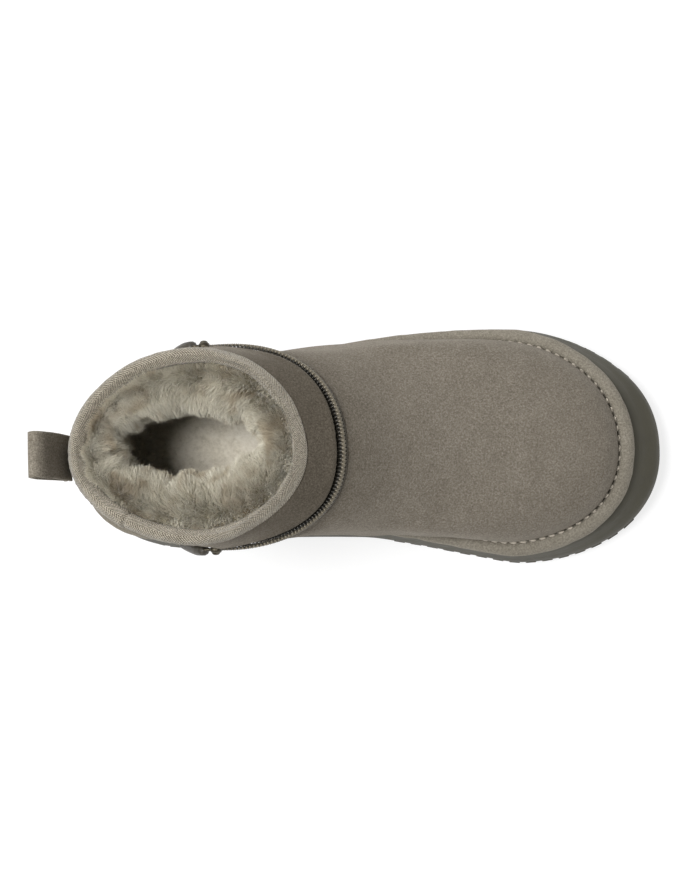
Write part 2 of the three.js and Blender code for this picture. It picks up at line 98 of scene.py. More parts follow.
# ---- small maths
def through(xs, ys):
    """A smooth curve through a table's rows, with no overshoot."""
    xs, ys = np.asarray(xs, float), np.asarray(ys, float)
    step, rise = np.diff(xs), np.diff(ys)
    slope = rise / step
    tangent = np.zeros(len(xs))
    for i in range(1, len(xs) - 1):
        if slope[i - 1] * slope[i] > 0:
            a = 2 * step[i] + step[i - 1]
            b = step[i] + 2 * step[i - 1]
            tangent[i] = (a + b) / (a / slope[i - 1] + b / slope[i])
    tangent[0], tangent[-1] = slope[0], slope[-1]

    def value(at):
        x = np.clip(np.asarray(at, float), xs[0], xs[-1])
        i = np.clip(np.searchsorted(xs, x, side="right") - 1, 0, len(xs) - 2)
        t = (x - xs[i]) / step[i]
        r = 1 - t
        start = ys[i] * (1 + 2 * t) * r * r + tangent[i] * step[i] * t * r * r
        return start + ys[i + 1] * t * t * (3 - 2 * t) - tangent[i + 1] * step[i] * t * t * r

    return value


def columns(names, rows):
    table = {}
    for k, name in enumerate(names[1:], 1):
        table[name] = through([r[0] for r in rows], [r[k] for r in rows])
    return table


def smooth(t):
    c = np.clip(t, 0, 1)
    return c * c * (3 - 2 * c)


def mix(a, b, t):
    return a + (b - a) * t


def unit(a):
    return a / np.maximum(np.linalg.norm(a, axis=-1, keepdims=True), 1e-9)


def turns(count):
    """Angles once round, evenly spaced."""
    return np.arange(count) * 2 * np.pi / count


def vectors(*parts):
    """Vectors from their parts, which may be grids or single numbers."""
    return np.stack(np.broadcast_arrays(*parts), -1)


def rounded(c, power):
    """A sine or cosine made squarer or rounder, with its sign kept."""
    return np.sign(c) * np.abs(c) ** power


def lattice(i, seed):
    """A repeatable number from -1 to 1 for each corner of a grid of cells."""
    n = i[..., 0] * 374761393 + i[..., 1] * 668265263 + i[..., 2] * 2147483647 + seed * 974634777
    n = (n ^ (n >> 13)) * 1274126177
    n = n ^ (n >> 16)
    return (n & 0xFFFFFF) / float(0x7FFFFF) - 1.0


def lumps(p, size, seed):
    """Soft noise over points p, with lumps of the given size."""
    q = np.asarray(p, float) / size + 100.0
    i = np.floor(q).astype(np.int64)
    f = q - i
    f = f * f * (3 - 2 * f)
    total = 0.0
    for dx in (0, 1):
        for dy in (0, 1):
            for dz in (0, 1):
                w = (f[..., 0] if dx else 1 - f[..., 0]) * (f[..., 1] if dy else 1 - f[..., 1])
                w = w * (f[..., 2] if dz else 1 - f[..., 2])
                total = total + w * lattice(i + np.array([dx, dy, dz]), seed)
    return total


foot = columns(FOOT_COLUMNS, FOOT)
ring = columns(RING_COLUMNS, RINGS)
shaft = columns(OVAL_COLUMNS, SHAFT)
collar = columns(OVAL_COLUMNS, COLLAR)
sole_top = foot["top"]
ground = through(*zip(*GROUND))
side_flare = through(*zip(*SIDE_WALL))


# ---- the boot's surfaces
def end_cap(distance, length, square):
    t = np.clip(distance / length, 0, 1)
    return (1 - t ** square) ** (1 / square)


def along(u):
    """How far round the boot is from the back, 0, to the toe, 1."""
    return (1 - np.cos(2 * np.pi * u)) / 2


def half_width(x, out, out_toe, lateral):
    """How far the plan reaches from the middle line at x, pushed out."""
    half = np.where(lateral, foot["lateral"](x), foot["medial"](x)) + out
    back = end_cap(HEEL_BACK + HEEL_ROUND - x, HEEL_ROUND + out, PLAN_SQUARE)
    front = end_cap(x - TOE_FRONT + TOE_ROUND, TOE_ROUND + out_toe, PLAN_SQUARE)
    return half * back * front


def plan(u, out, out_toe):
    """The foot's plan at the seam, pushed out; z is left at 0."""
    x = mix(HEEL_BACK - out, TOE_FRONT + out_toe, along(u))
    lateral = (u % 1.0) < 0.5
    return vectors(x, half_width(x, out, out_toe, lateral) * np.where(lateral, 1, -1), 0.0)


def upper_at(u, v):
    """The outer surface of the upper: u round the boot, v from the seam to the collar."""
    u, v = np.broadcast_arrays(np.asarray(u, float), np.asarray(v, float))
    s = along(u)
    x = mix(ring["back"](v), ring["front"](v), s)
    lateral = (u % 1.0) < 0.5
    rise = smooth(v / 0.25)
    seam = np.where(lateral, foot["lateral"](x), foot["medial"](x))
    full = np.where(lateral, foot["lateral_full"](x), foot["medial_full"](x))
    base_half = mix(seam, full, rise) * ring["width"](v)
    to_collar = np.clip((v - 0.75) / 0.25, 0, 1)
    low = np.where(lateral, shaft["lateral"](x), shaft["medial"](x))
    high = np.where(lateral, collar["lateral"](x), collar["medial"](x))
    oval = mix(low, high, to_collar)
    half = mix(base_half, oval, ring["shaft"](v))
    square = ring["square"](v)
    back = end_cap(ring["back"](v) + ring["heel"](v) - x, ring["heel"](v), square)
    front = end_cap(x - ring["front"](v) + ring["toe"](v), ring["toe"](v), square)
    y = half * back * front * np.where(lateral, 1, -1) - SHAFT_LEAN * ring["shaft"](v) * s * s
    level = mix(HEEL_STACK, BALL_STACK, s)
    bottom = mix(sole_top(x), level, smooth(v / 0.5))
    base = mix(bottom, HEEL_STACK, smooth((v - 0.5) / 0.5))
    z = base + mix(ring["back_up"](v), ring["front_up"](v), s)
    return vectors(x, y, z)


def upper_normal(u, v):
    du, dv = 0.002, 0.004
    low, high = np.maximum(v - dv, 0), np.minimum(v + dv, 1)
    along_u = upper_at(u + du, v) - upper_at(u - du, v)
    along_v = upper_at(u, high) - upper_at(u, low)
    return unit(np.cross(along_v, along_u))


def plan_normal(u):
    step = plan(u + 0.002, 0, 0) - plan(u - 0.002, 0, 0)
    return unit(vectors(-step[..., 1], step[..., 0], 0.0))


def inside_at(u, v, depth=None):
    """The surface a given depth inside the upper; level with the sole at the bottom."""
    settle = smooth(v / 0.1)[..., None]
    flat = unit(mix(plan_normal(u), upper_normal(u, v), settle))
    wall = ring["wall"](v) if depth is None else depth
    point = upper_at(u, v) - flat * wall[..., None]
    floor = sole_top(point[..., 0]) + 0.3 + v * 100
    point[..., 2] = mix(floor, point[..., 2], settle[..., 0])
    return point


def zip_v(u):
    return mix(ZIP_FRONT_V, ZIP_SIDE_V, smooth(np.abs(u - 0.5) / 0.25))


def zip_path(t):
    u = mix(ZIP_LATERAL_U, ZIP_MEDIAL_U, t)
    return u, zip_v(u)


def zip_points(t):
    return upper_at(*zip_path(t))


def frame_on(path, t):
    """Point, outward normal, travel and across, on the upper's surface."""
    t = np.asarray(t, float)
    u, v = path(t)
    ua, va = path(t + 0.004)
    ub, vb = path(t - 0.004)
    travel = unit(upper_at(ua, va) - upper_at(ub, vb))
    out = upper_normal(u, v)
    across = unit(np.cross(out, travel))
    return upper_at(u, v), out, travel, across


def even_steps(path, spacing):
    """Parameters along a path of points, evenly spaced in millimetres."""
    t = np.linspace(0, 1, 2001)
    p = path(t)
    length = np.concatenate([[0], np.cumsum(np.linalg.norm(np.diff(p, axis=0), axis=1))])
    count = max(int(round(length[-1] / spacing)), 2)
    return np.interp(np.arange(count + 1) * length[-1] / count, length, t), length[-1]


# ---- meshes from arrays
def put(name, data):
    thing = bpy.data.objects.new(name, data)
    bpy.context.scene.collection.objects.link(thing)
    return thing


def mesh_piece(name, points, faces, uv=None, flat=False):
    """A piece from points in millimetres; its material, CAD node and slot are in PIECES."""
    material, node, slot = PIECES[name]
    faces = [np.asarray(f, np.int32) for f in (faces if isinstance(faces, list) else [faces])]
    points = np.asarray(points, float).reshape(-1, 3) * MM
    loops = np.concatenate([f.ravel() for f in faces])
    sizes = np.concatenate([np.full(len(f), f.shape[1]) for f in faces])
    mesh = bpy.data.meshes.new(name)
    mesh.vertices.add(len(points))
    mesh.vertices.foreach_set("co", points.astype(np.float32).ravel())
    mesh.loops.add(len(loops))
    mesh.loops.foreach_set("vertex_index", loops)
    mesh.polygons.add(len(sizes))
    mesh.polygons.foreach_set("loop_start", (np.cumsum(sizes) - sizes).astype(np.int32))
    mesh.polygons.foreach_set("use_smooth", np.full(len(sizes), not flat))
    mesh.update(calc_edges=True)
    if uv is not None:
        corners = np.asarray(uv, float).reshape(-1, 2)[loops]
        layer = mesh.uv_layers.new(name="UVMap")
        layer.data.foreach_set("uv", corners.astype(np.float32).ravel())
    mesh.validate()
    mesh.materials.append(material)
    piece = put(name, mesh)
    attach(piece, "root")
    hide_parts(node)


def grid_faces(rows, cols, wrap_rows=False, wrap_cols=False, flip=False):
    r = np.arange(rows if wrap_rows else rows - 1)
    c = np.arange(cols if wrap_cols else cols - 1)
    r, c = [a.ravel() for a in np.meshgrid(r, c, indexing="ij")]
    r2, c2 = (r + 1) % rows, (c + 1) % cols
    quads = np.stack([r * cols + c, r2 * cols + c, r2 * cols + c2, r * cols + c2], -1)
    return quads[:, ::-1] if flip else quads


def round_grid(count, across):
    """Steps round the boot, 0 to 1, by the values across it, as two grids."""
    return np.meshgrid(np.arange(count) / count, across, indexing="ij")


def round_faces(grid):
    """The faces of a surface that runs round the boot and back to its start."""
    return grid_faces(grid.shape[0], grid.shape[1], wrap_rows=True, flip=True)


def tube_faces(steps, sides, turned=False):
    """A tube's side and its two end caps."""
    ends = np.stack([np.arange(sides), steps * sides - 1 - np.arange(sides)])
    return [grid_faces(steps, sides, wrap_cols=True), ends[:, ::-1] if turned else ends]


def joined(shapes):
    """Several shapes, each (points, faces), as one."""
    starts = np.cumsum([0] + [len(points) for points, _ in shapes])
    faces = [faces + start for (_, faces), start in zip(shapes, starts)]
    return np.concatenate([points for points, _ in shapes]), np.concatenate(faces)


def many(shape_faces, places):
    """Copies of one small shape, joined: places is (copies, points, 3)."""
    n, size = places.shape[:2]
    faces = shape_faces[None] + (np.arange(n) * size)[:, None, None]
    return places.reshape(-1, 3), faces.reshape(-1, shape_faces.shape[1])


def tubes(path, radius, sides):
    """Closed round tubes: path is (copies, steps, 3), radius any shape that fits its steps."""
    n, steps = path.shape[:2]
    travel = unit(np.gradient(path, axis=1))
    side = unit(np.cross(travel, np.array([0.13, 0.21, 0.97])))
    top = unit(np.cross(side, travel))
    a = turns(sides)
    circle = side[:, :, None] * np.cos(a)[:, None] + top[:, :, None] * np.sin(a)[:, None]
    radius = np.broadcast_to(radius, (n, steps))[:, :, None, None]
    rows = (path[:, :, None] + circle * radius).reshape(n, steps * sides, 3)
    quads, caps = tube_faces(steps, sides)
    points, quads = many(quads, rows)
    return points, [quads, many(caps, rows)[1]]


def stitch_steps(t, length, half, count):
    """Places along each stitch between the holes t, and steps from -1 to 1 along it."""
    steps = np.linspace(-1, 1, count)
    return (t[:-1, None] + t[1:, None]) / 2 + steps * (half / length), steps


def thread_radius(radius, steps):
    """Thread that narrows to both ends of a stitch."""
    return radius * np.sqrt(np.clip(1.04 - steps ** 4, 0.05, 1))


# ---- materials
class Nodes:
    """Builds a node material; every constant sits on the shader's own socket."""

    def __init__(self, name, **sockets):
        self.material = bpy.data.materials.new(name)
        self.material.use_nodes = True
        self.tree = self.material.node_tree
        self.tree.nodes.clear()
        self.shader = self.add("BsdfPrincipled", {k.replace("_", " "): v for k, v in sockets.items()})
        self.add("OutputMaterial", {"Surface": self.shader.outputs[0]})
        where = self.add("TexCoord").outputs
        self.place, self.uv = where["Object"], where["UV"]

    def give(self, node, inputs):
        """A number or colour is set on its socket, and another node's output is linked to it."""
        for socket, value in inputs.items():
            if isinstance(value, bpy.types.NodeSocket):
                self.tree.links.new(value, node.inputs[socket])
            else:
                node.inputs[socket].default_value = value

    def add(self, kind, inputs=None, **settings):
        node = self.tree.nodes.new("ShaderNode" + kind)
        for key, value in settings.items():
            setattr(node, key, value)
        self.give(node, inputs or {})
        return node

    def math(self, kind, *values):
        return self.add("Math", dict(enumerate(values)), operation=kind).outputs[0]

    def total(self, *parts):
        """A sum of (output, weight) parts."""
        weighted = [self.math("MULTIPLY", part, weight) for part, weight in parts]
        value = weighted[0]
        for part in weighted[1:]:
            value = self.math("ADD", value, part)
        return value

    def wave(self, value, length):
        return self.math("SINE", self.math("MULTIPLY", value, 2 * math.pi / length))

    def uv_parts(self):
        node = self.add("SeparateXYZ", {0: self.uv})
        return node.outputs[0], node.outputs[1]

    def noise(self, size_mm, detail=3.0, rough=0.55, distortion=0.0, stretch=None):
        where = self.place
        if stretch:
            where = self.add("Mapping", {"Vector": where, "Scale": stretch}).outputs[0]
        scale = 1.0 / (size_mm * MM)
        grain = {"Scale": scale, "Detail": detail, "Roughness": rough, "Distortion": distortion}
        return self.add("TexNoise", {"Vector": where, **grain}).outputs["Fac"]

    def ramp(self, factor, *stops):
        """A ramp of (position, linear colour) stops."""
        node = self.add("ValToRGB", {0: factor})
        elements = node.color_ramp.elements
        elements[0].position, elements[1].position = stops[0][0], stops[-1][0]
        elements[0].color, elements[1].color = stops[0][1], stops[-1][1]
        for at, colour in stops[1:-1]:
            elements.new(at).color = colour
        return node.outputs[0]

    def tones(self, factor, *stops):
        """A ramp of (position, 0-255 colour) stops."""
        return self.ramp(factor, *[(at, srgb(*colour)) for at, colour in stops])

    def blend(self, factor, a, b, kind="MIX"):
        return self.add("Mix", {0: factor, 6: a, 7: b}, data_type="RGBA", blend_type=kind).outputs[2]

    def spread(self, factor, low, high, to_low, to_high):
        return self.add("MapRange", {0: factor, 1: low, 2: high, 3: to_low, 4: to_high}).outputs[0]

    def finish(self, colour, *bumps, rough=None):
        """The finished material; bumps are (output, distance in mm), added one over another."""
        self.give(self.shader, {"Base Color": colour})
        if rough:
            self.give(self.shader, {"Roughness": rough})
        last = {}
        for height, distance in bumps:
            node = self.add("Bump", {"Height": height, "Strength": 1.0, "Distance": distance * MM, **last})
            last = {"Normal": node.outputs[0]}
        self.give(self.shader, last)
        return self.material


def srgb(r, g, b):
    """A linear colour from 0-255 numbers."""
    parts = [c / 255 for c in (r, g, b)]
    return (*[c / 12.92 if c <= 0.04045 else ((c + 0.055) / 1.055) ** 2.4 for c in parts], 1)


def suede_material(name, base, contrast=1.0, painted_panel_shade=False):
    cloth = {"Sheen_Weight": 0.2, "Sheen_Roughness": 0.4, "Sheen_Tint": srgb(220, 212, 198)}
    m = Nodes(name, Roughness=0.95, Specular_IOR_Level=0.15, **cloth)
    nap = m.noise(0.78, detail=2.0, rough=0.6)
    cloud = m.noise(11, detail=4.0, rough=0.6, distortion=0.6)
    fibre = m.noise(0.42, detail=2.0, rough=0.6)
    dark, light = [[c + change * contrast for c in base] for change in (-24, 26)]
    value = m.total((nap, 0.56), (cloud, 0.13), (fibre, 0.31))
    skin = m.tones(value, (0.34, dark), (0.5, base), (0.66, light))
    if painted_panel_shade:
        # UV x says how much darker the suede is painted. It is 1 on the panel above the zip, partly darker
        # nap and partly painted shade. It is up to a half on the vamp just below the zip, a painted
        # shadow, and 0 elsewhere on the vamp.
        shade, _ = m.uv_parts()
        skin = m.blend(shade, skin, m.blend(1.0, skin, (0.5, 0.48, 0.45, 1), "MULTIPLY"))
    rough = m.spread(nap, 0.3, 0.7, 0.98, 0.86)
    return m.finish(skin, (cloud, 0.2), (nap, 0.26), (fibre, 0.16), rough=rough)


def knit_material():
    """Herringbone: slanted ribs that turn back on themselves every few millimetres."""
    m = Nodes("knit_tape", Roughness=0.92, Sheen_Weight=0.3, Sheen_Roughness=0.4, Specular_IOR_Level=0.15)
    run, over = m.uv_parts()
    turn = m.math("PINGPONG", over, 2.4)
    rib = m.wave(m.math("ADD", run, m.math("MULTIPLY", turn, 1.15)), 1.05)
    weave = m.math("ADD", m.total((rib, 0.36), (m.wave(over, 0.6), 0.14)), 0.5)
    cloud, fluff = m.noise(9), m.noise(0.85, detail=2.0)
    value = m.total((weave, 0.42), (cloud, 0.14), (fluff, 0.44))
    colour = m.tones(value, (0.3, (84, 78, 66)), (0.5, (140, 133, 119)), (0.7, (196, 187, 170)))
    return m.finish(colour, (weave, 0.3), (fluff, 0.25))


def sole_material():
    m = Nodes("outsole_foam", Roughness=0.62, Specular_IOR_Level=0.2)
    cloud, pores = m.noise(26, rough=0.5), m.noise(0.7, detail=2.0)
    scuff = m.noise(6, detail=5.0, rough=0.7, stretch=(1.0, 1.0, 3.0))
    value = m.total((cloud, 0.5), (scuff, 0.5))
    colour = m.tones(value, (0.3, (68, 65, 54)), (0.52, (77, 74, 62)), (0.75, (87, 84, 71)))
    return m.finish(colour, (pores, 0.05), (scuff, 0.08), rough=m.spread(scuff, 0.35, 0.7, 0.54, 0.74))


def felt_material():
    m = Nodes("felt_wool", Roughness=0.98, Sheen_Weight=0.35, Specular_IOR_Level=0.1)
    cloud = m.noise(14, detail=4.0, rough=0.6, distortion=1.0)
    fleck = m.noise(1.6, detail=4.0, rough=0.7)
    value = m.total((cloud, 0.55), (fleck, 0.45))
    colour = m.tones(value, (0.32, (184, 175, 156)), (0.5, (218, 210, 193)), (0.7, (234, 228, 214)))
    return m.finish(colour, (cloud, 1.0), (fleck, 0.4))


def fleece_material(name, root, tip, dusty):
    """Wool fibres: UV x runs from the root to the tip, UV y is a tone for each lock, with painted shade
    where the fleece meets the collar tape.
    """
    m = Nodes(name, Roughness=0.9, Sheen_Weight=0.3, Sheen_Roughness=0.4, Specular_IOR_Level=0.15)
    length, lock_tone_and_painted_shade = m.uv_parts()
    middle = [mix(a, b, 0.6) for a, b in zip(root, tip)]
    shade = m.tones(length, (0.0, root), (0.45, middle), (1.0, tip))
    patch = m.noise(12, distortion=0.8)
    toned = m.blend(m.spread(patch, 0.48, 0.66, 0.0, 0.85), shade, srgb(*dusty))
    # Low values of UV y tint the wool dark brown: the locks' own tone, and the painted shade by the tape.
    vary = m.ramp(lock_tone_and_painted_shade, (0.0, (0.45, 0.4, 0.31, 1)), (0.4, (0.84, 0.82, 0.78, 1)), (1.0, (1, 1, 1, 1)))
    return m.finish(m.blend(1.0, toned, vary, "MULTIPLY"), (m.noise(1.2, detail=4.0, rough=0.7), 0.5))


def thread_material(name, base):
    m = Nodes(name, Roughness=0.7, Sheen_Weight=0.2, Specular_IOR_Level=0.3)
    ply = m.noise(0.5, detail=2.0)
    return m.finish(m.tones(ply, (0.3, [c * 0.8 for c in base]), (0.7, base)), (ply, 0.12))


def coil_material(name, base, crown_highlight, roughness):
    """Nylon: UV x is 1 on the crown of each tooth, where the colour is brighter, a painted highlight."""
    m = Nodes(name, Roughness=roughness)
    painted_highlight, _ = m.uv_parts()
    wear = m.noise(2.2)
    value = m.math("ADD", painted_highlight, m.math("MULTIPLY_ADD", wear, 0.5, -0.25))
    rough = m.spread(wear, 0.3, 0.7, roughness + 0.1, roughness - 0.08)
    colour = m.tones(value, (0.35, base), (0.8, crown_highlight))
    return m.finish(colour, (m.noise(0.6, detail=2.0), 0.05), rough=rough)


def tape_material():
    m = Nodes("zip_tape", Roughness=0.9, Sheen_Weight=0.2, Specular_IOR_Level=0.2)
    run, over = m.uv_parts()
    crossed = m.math("MULTIPLY", m.wave(run, 0.7), m.wave(over, 0.5))
    weave = m.math("MULTIPLY_ADD", crossed, 0.5, 0.5)
    colour = m.tones(weave, (0.0, (26, 24, 19)), (1.0, (50, 46, 38)))
    return m.finish(colour, (weave, 0.12), (m.noise(0.8), 0.08))


def leather_material():
    m = Nodes("pull_leather", Roughness=0.5, Coat_Weight=0.08)
    crease, cloud = m.noise(0.9, detail=4.0, rough=0.6), m.noise(4.5)
    value = m.total((crease, 0.4), (cloud, 0.6))
    colour = m.tones(value, (0.3, (44, 40, 33)), (0.5, (62, 57, 48)), (0.72, (82, 76, 64)))
    return m.finish(colour, (crease, 0.12), (cloud, 0.2), rough=m.spread(crease, 0.3, 0.7, 0.58, 0.42))


def metal_material():
    m = Nodes("zip_metal", Roughness=0.34, Metallic=1.0)
    wear = m.noise(1.6, detail=4.0)
    colour = m.tones(wear, (0.3, (58, 54, 46)), (0.55, (86, 81, 70)), (0.75, (122, 116, 102)))
    return m.finish(colour, (m.noise(0.5), 0.04), rough=m.spread(wear, 0.3, 0.7, 0.56, 0.4))


def floor_material():
    glow = {"Emission_Color": (1, 1, 1, 1), "Emission_Strength": 0.78}
    m = Nodes("studio_floor", Roughness=0.9, Specular_IOR_Level=0.1, **glow)
    greys = [(at, (grey, grey, grey, 1)) for at, grey in ((0.3, 0.28), (0.7, 0.29))]
    return m.finish(m.ramp(m.noise(300, detail=1.0), *greys))


# The upper's suede is painted darker from its UV x: painted shade with darker nap on the panel above the
# zip, and a painted shadow just below the zip.
SUEDE = suede_material("suede", (118, 111, 100), painted_panel_shade=True)
SUEDE_RAND = suede_material("suede_rand", (131, 125, 113), contrast=0.9)
SUEDE_LOOP = suede_material("suede_loop", (126, 119, 107), contrast=1.3)
KNIT = knit_material()
OUTSOLE = sole_material()
FELT = felt_material()
FLEECE_BASE = fleece_material("fleece_base", (176, 168, 147), (190, 183, 163), (156, 141, 117))
FLEECE = fleece_material("fleece", (196, 189, 169), (230, 225, 209), (190, 176, 151))
THREAD = thread_material("thread", (218, 208, 191))
THREAD_DIM = thread_material("thread_dim", (140, 132, 117))
# The coil's lighter second colour is a painted highlight on the teeth's crowns.
COIL = coil_material("zip_coil", (42, 39, 32), (124, 116, 100), 0.36)
EDGE = coil_material("zip_edge", (88, 82, 69), (88, 82, 69), 0.45)
TAPE = tape_material()
LEATHER = leather_material()
METAL = metal_material()

# Each piece's material, the CAD node that it stands for, and its slot.
PIECES = {
    "suede_upper": (SUEDE, "upper", "suede"),
    "rand_roll": (SUEDE_RAND, "rand", "suede_rand"),
    "rand_stitches": (THREAD, "rand", "suede_rand"),
    "sole_body": (OUTSOLE, "platform_sole", "outsole"),
    "sole_tread": (OUTSOLE, "platform_sole", "outsole"),
    "felt_insole": (FELT, "insole", "felt"),
    "collar_tape": (KNIT, "collar_binding", "knit_tape"),
    "tape_stitches": (THREAD_DIM, "collar_binding", "knit_tape"),
    "zip_tape": (TAPE, "zip_chain", "zip_coil"),
    "zip_coil": (COIL, "zip_chain", "zip_coil"),
    "zip_welt": (EDGE, "zip_chain", "zip_coil"),
    "heel_loop": (SUEDE_LOOP, "heel_pull_loop", "suede"),
    "loop_stitches": (THREAD, "heel_pull_loop", "suede"),
    "fleece_backing": (FLEECE_BASE, "upper", "felt"),
}
for end in ("lateral", "medial"):
    PIECES["slider_" + end] = (METAL, "zip_slider_" + end, "zip_metal")
    PIECES["pull_" + end] = (LEATHER, "zip_pull_" + end, "leather")
for place in ("outer", "inner", "low"):
    PIECES["fleece_pile_" + place] = (FLEECE, "upper", "felt")

# ---- camera, lights and floor
# The camera is nearly overhead, a little to the toe and to the inner side, and the boot
# lies across the frame with its toe to the right. Camera and floor sizes are in millimetres.
CAMERA_AT = (246.8, -58.2, 1110.0)
CAMERA_AIM = (90.7, 4.2, 60.0)
CAMERA_TURN = math.radians(1.6)
CAMERA_LENS = 97.1
FLOOR_HALF, FLOOR_CELLS, FLOOR_DROP = 14000, 8, 0.4
# A light's name, place and aim in metres, size and power.
LIGHTS = (
    ("key", (-0.36, 0.0, 2.1), (0.07, 0, 0.05), 0.7, 38.0),
    ("side", (-0.5, 1.35, 1.2), (0.09, 0, 0.05), 0.9, 8.5),
)


def add_camera():
    forward = (Vector(CAMERA_AIM) - Vector(CAMERA_AT)).normalized()
    across = Vector((math.sin(CAMERA_TURN), math.cos(CAMERA_TURN), 0))
    right = forward.cross(across).normalized()
    axes = Matrix([right, right.cross(forward), -forward]).transposed()
    camera = put("camera", bpy.data.cameras.new("camera"))
    camera.data.sensor_fit = "VERTICAL"
    camera.data.sensor_height = 36.0
    camera.data.lens = CAMERA_LENS
    camera.data.clip_start, camera.data.clip_end = 0.05, 20
    camera.matrix_world = Matrix.Translation(Vector(CAMERA_AT) * MM) @ axes.to_4x4()
    bpy.context.scene.camera = camera


def add_light(name, at, aim, size, power):
    data = bpy.data.lights.new(name, "AREA")
    data.shape, data.size, data.energy = "DISK", size, power
    light = put(name, data)
    light.location = at
    light.rotation_euler = (Vector(aim) - Vector(at)).to_track_quat("-Z", "Y").to_euler()


def add_sky():
    """Pale near the horizon and grey overhead."""
    world = bpy.data.worlds.new("studio")
    world.use_nodes = True
    tree = world.node_tree
    back = tree.nodes["Background"]
    back.inputs[1].default_value = 1.0
    where, height = tree.nodes.new("ShaderNodeTexCoord"), tree.nodes.new("ShaderNodeSeparateXYZ")
    ramp = tree.nodes.new("ShaderNodeValToRGB")
    for element, at, grey in zip(ramp.color_ramp.elements, (0.1, 0.42), (0.86, 0.24)):
        element.position, element.color = at, (grey, grey, grey, 1)
    tree.links.new(where.outputs["Generated"], height.inputs[0])
    tree.links.new(height.outputs[2], ramp.inputs[0])
    tree.links.new(ramp.outputs[0], back.inputs[0])
    bpy.context.scene.world = world


def add_floor():
    side = np.linspace(-FLOOR_HALF, FLOOR_HALF, FLOOR_CELLS + 1)
    x, y = np.meshgrid(side, side, indexing="ij")
    points = (vectors(x, y, -FLOOR_DROP) * MM).reshape(-1, 3)
    mesh = bpy.data.meshes.new("studio_floor")
    mesh.from_pydata(points.tolist(), [], grid_faces(len(side), len(side)).tolist())
    mesh.materials.append(floor_material())
    floor = put("studio_floor", mesh)


add_camera()
for light in LIGHTS:
    add_light(*light)
add_sky()
add_floor()
bpy.context.scene.view_settings.view_transform = "Standard"


# ---- suede upper
# Soft creases, listed in plan: from x, y to x, y, then half width and depth.
CREASES = (
    (112, -32, 120, -6, 8.0, 0.4),
    (119, 8, 110, 38, 8.0, 0.4),
    (136, -36, 139, -20, 6.0, 0.25),
    (137, 26, 133, 42, 6.0, 0.25),
    (60, 46, 92, 49, 9.0, 0.6),
    (58, -37, 88, -36, 8.0, 0.6),
)
# The panel above the zip: how far above the zip's line it starts, and how far it stands out.
PANEL_EDGE, PANEL_HIGH, PANEL_ROLL = 2.2, 1.25, 0.45
ZIP_RECESS, ZIP_LIP = 1.5, 0.35
RAND_GROOVE, RAND_PUFF = 0.12, 0.35


def hump(distance, width):
    """A soft bell: 1 at no distance, fading over the width."""
    return np.exp(-(distance / width) ** 2)


def crease_depth(p):
    total = np.zeros(p.shape[:-1])
    for x0, y0, x1, y1, width, depth in CREASES:
        start = np.array([x0, y0])
        run = np.array([x1, y1]) - start
        q = p[..., :2] - start
        t = np.clip((q @ run) / (run @ run), 0, 1)
        away = np.linalg.norm(q - t[..., None] * run, axis=-1)
        total += depth * (0.35 * hump(away - 1.6 * width, width) - hump(away, width))
    return total


def zip_distance(u, v):
    """Millimetres above the zip's middle line, along the surface."""
    step = upper_at(u, np.minimum(v + 0.005, 1)) - upper_at(u, v - 0.005)
    return (v - zip_v(u)) * np.linalg.norm(step, axis=-1) / 0.01


def zip_presence(u):
    """1 along the zip, fading to 0 past both of its ends."""
    return smooth((u - ZIP_LATERAL_U + 0.010) / 0.016) * smooth((ZIP_MEDIAL_U + 0.010 - u) / 0.016)


def upper_relief(u, v, p):
    """How far the suede stands off the plain last shape."""
    up = p[..., 2] - sole_top(p[..., 0])
    relief = 0.28 * lumps(p, 44, 1) + 0.07 * lumps(p, 17, 2) + 0.03 * lumps(p, 6, 3)
    relief = relief * smooth((1 - v) / 0.1) + crease_depth(p) * smooth((up - 14) / 10)
    # The edge over the rand: a narrow groove, then the suede puffs out.
    relief += RAND_PUFF * hump(up - 13.4, 3.4) - RAND_GROOVE * hump(up - 8.4, 1.6)
    # The front panel of the shaft stands proud above the zip, which lies in a recess.
    w = zip_distance(u, v)
    above = smooth((w - PANEL_EDGE) / 0.6)
    panel = (PANEL_HIGH * above + PANEL_ROLL * hump(w - 4.6, 2.2)) * smooth((0.985 - v) / 0.03)
    recess = ZIP_RECESS * (smooth((w + 3.5) / 0.6) - above)
    return relief + zip_presence(u) * (panel - recess + ZIP_LIP * hump(w + 4.6, 1.4))


def nap_and_painted_shade(u, v):
    """How much darker the suede is painted: most on the panel above the zip, partly darker nap and partly
    painted shade, and a little below it, where a painted shadow of the shaft falls on the vamp.
    """
    w, from_front = zip_distance(u, v), np.abs(u - 0.5)
    # The panel above the zip: partly a darker-lying nap, partly painted shade where it faces away from the
    # light.
    above = smooth((w - PANEL_EDGE + 0.4) / 0.8) * smooth((0.262 - from_front) / 0.11)
    # Painted shadow of the shaft on the vamp just below the zip.
    painted_shaft_shadow = 0.5 * hump(np.clip(-w - 3.0, 0, None), 17.0) * (w < PANEL_EDGE)
    return np.clip(above + painted_shaft_shadow * smooth((0.25 - from_front) / 0.06 + 0.5), 0, 1)


def make_upper():
    spans = ((0.02, 0.16, 34), (0.16, 0.72, 70), (0.72, 0.95, 120), (0.97, 0.99, 2), (1.0, 1.0, 1))
    v = np.unique(np.round(np.concatenate([np.linspace(*span) for span in spans]), 5))
    uu, vv = round_grid(400, v)
    p = upper_at(uu, vv)
    p = p + upper_normal(uu, vv) * upper_relief(uu, vv, p)[..., None]
    # UV x carries the painted shade of the panel above the zip and the painted shadow on the vamp just
    # below it.
    mesh_piece("suede_upper", p, round_faces(p), vectors(nap_and_painted_shade(uu, vv), vv))


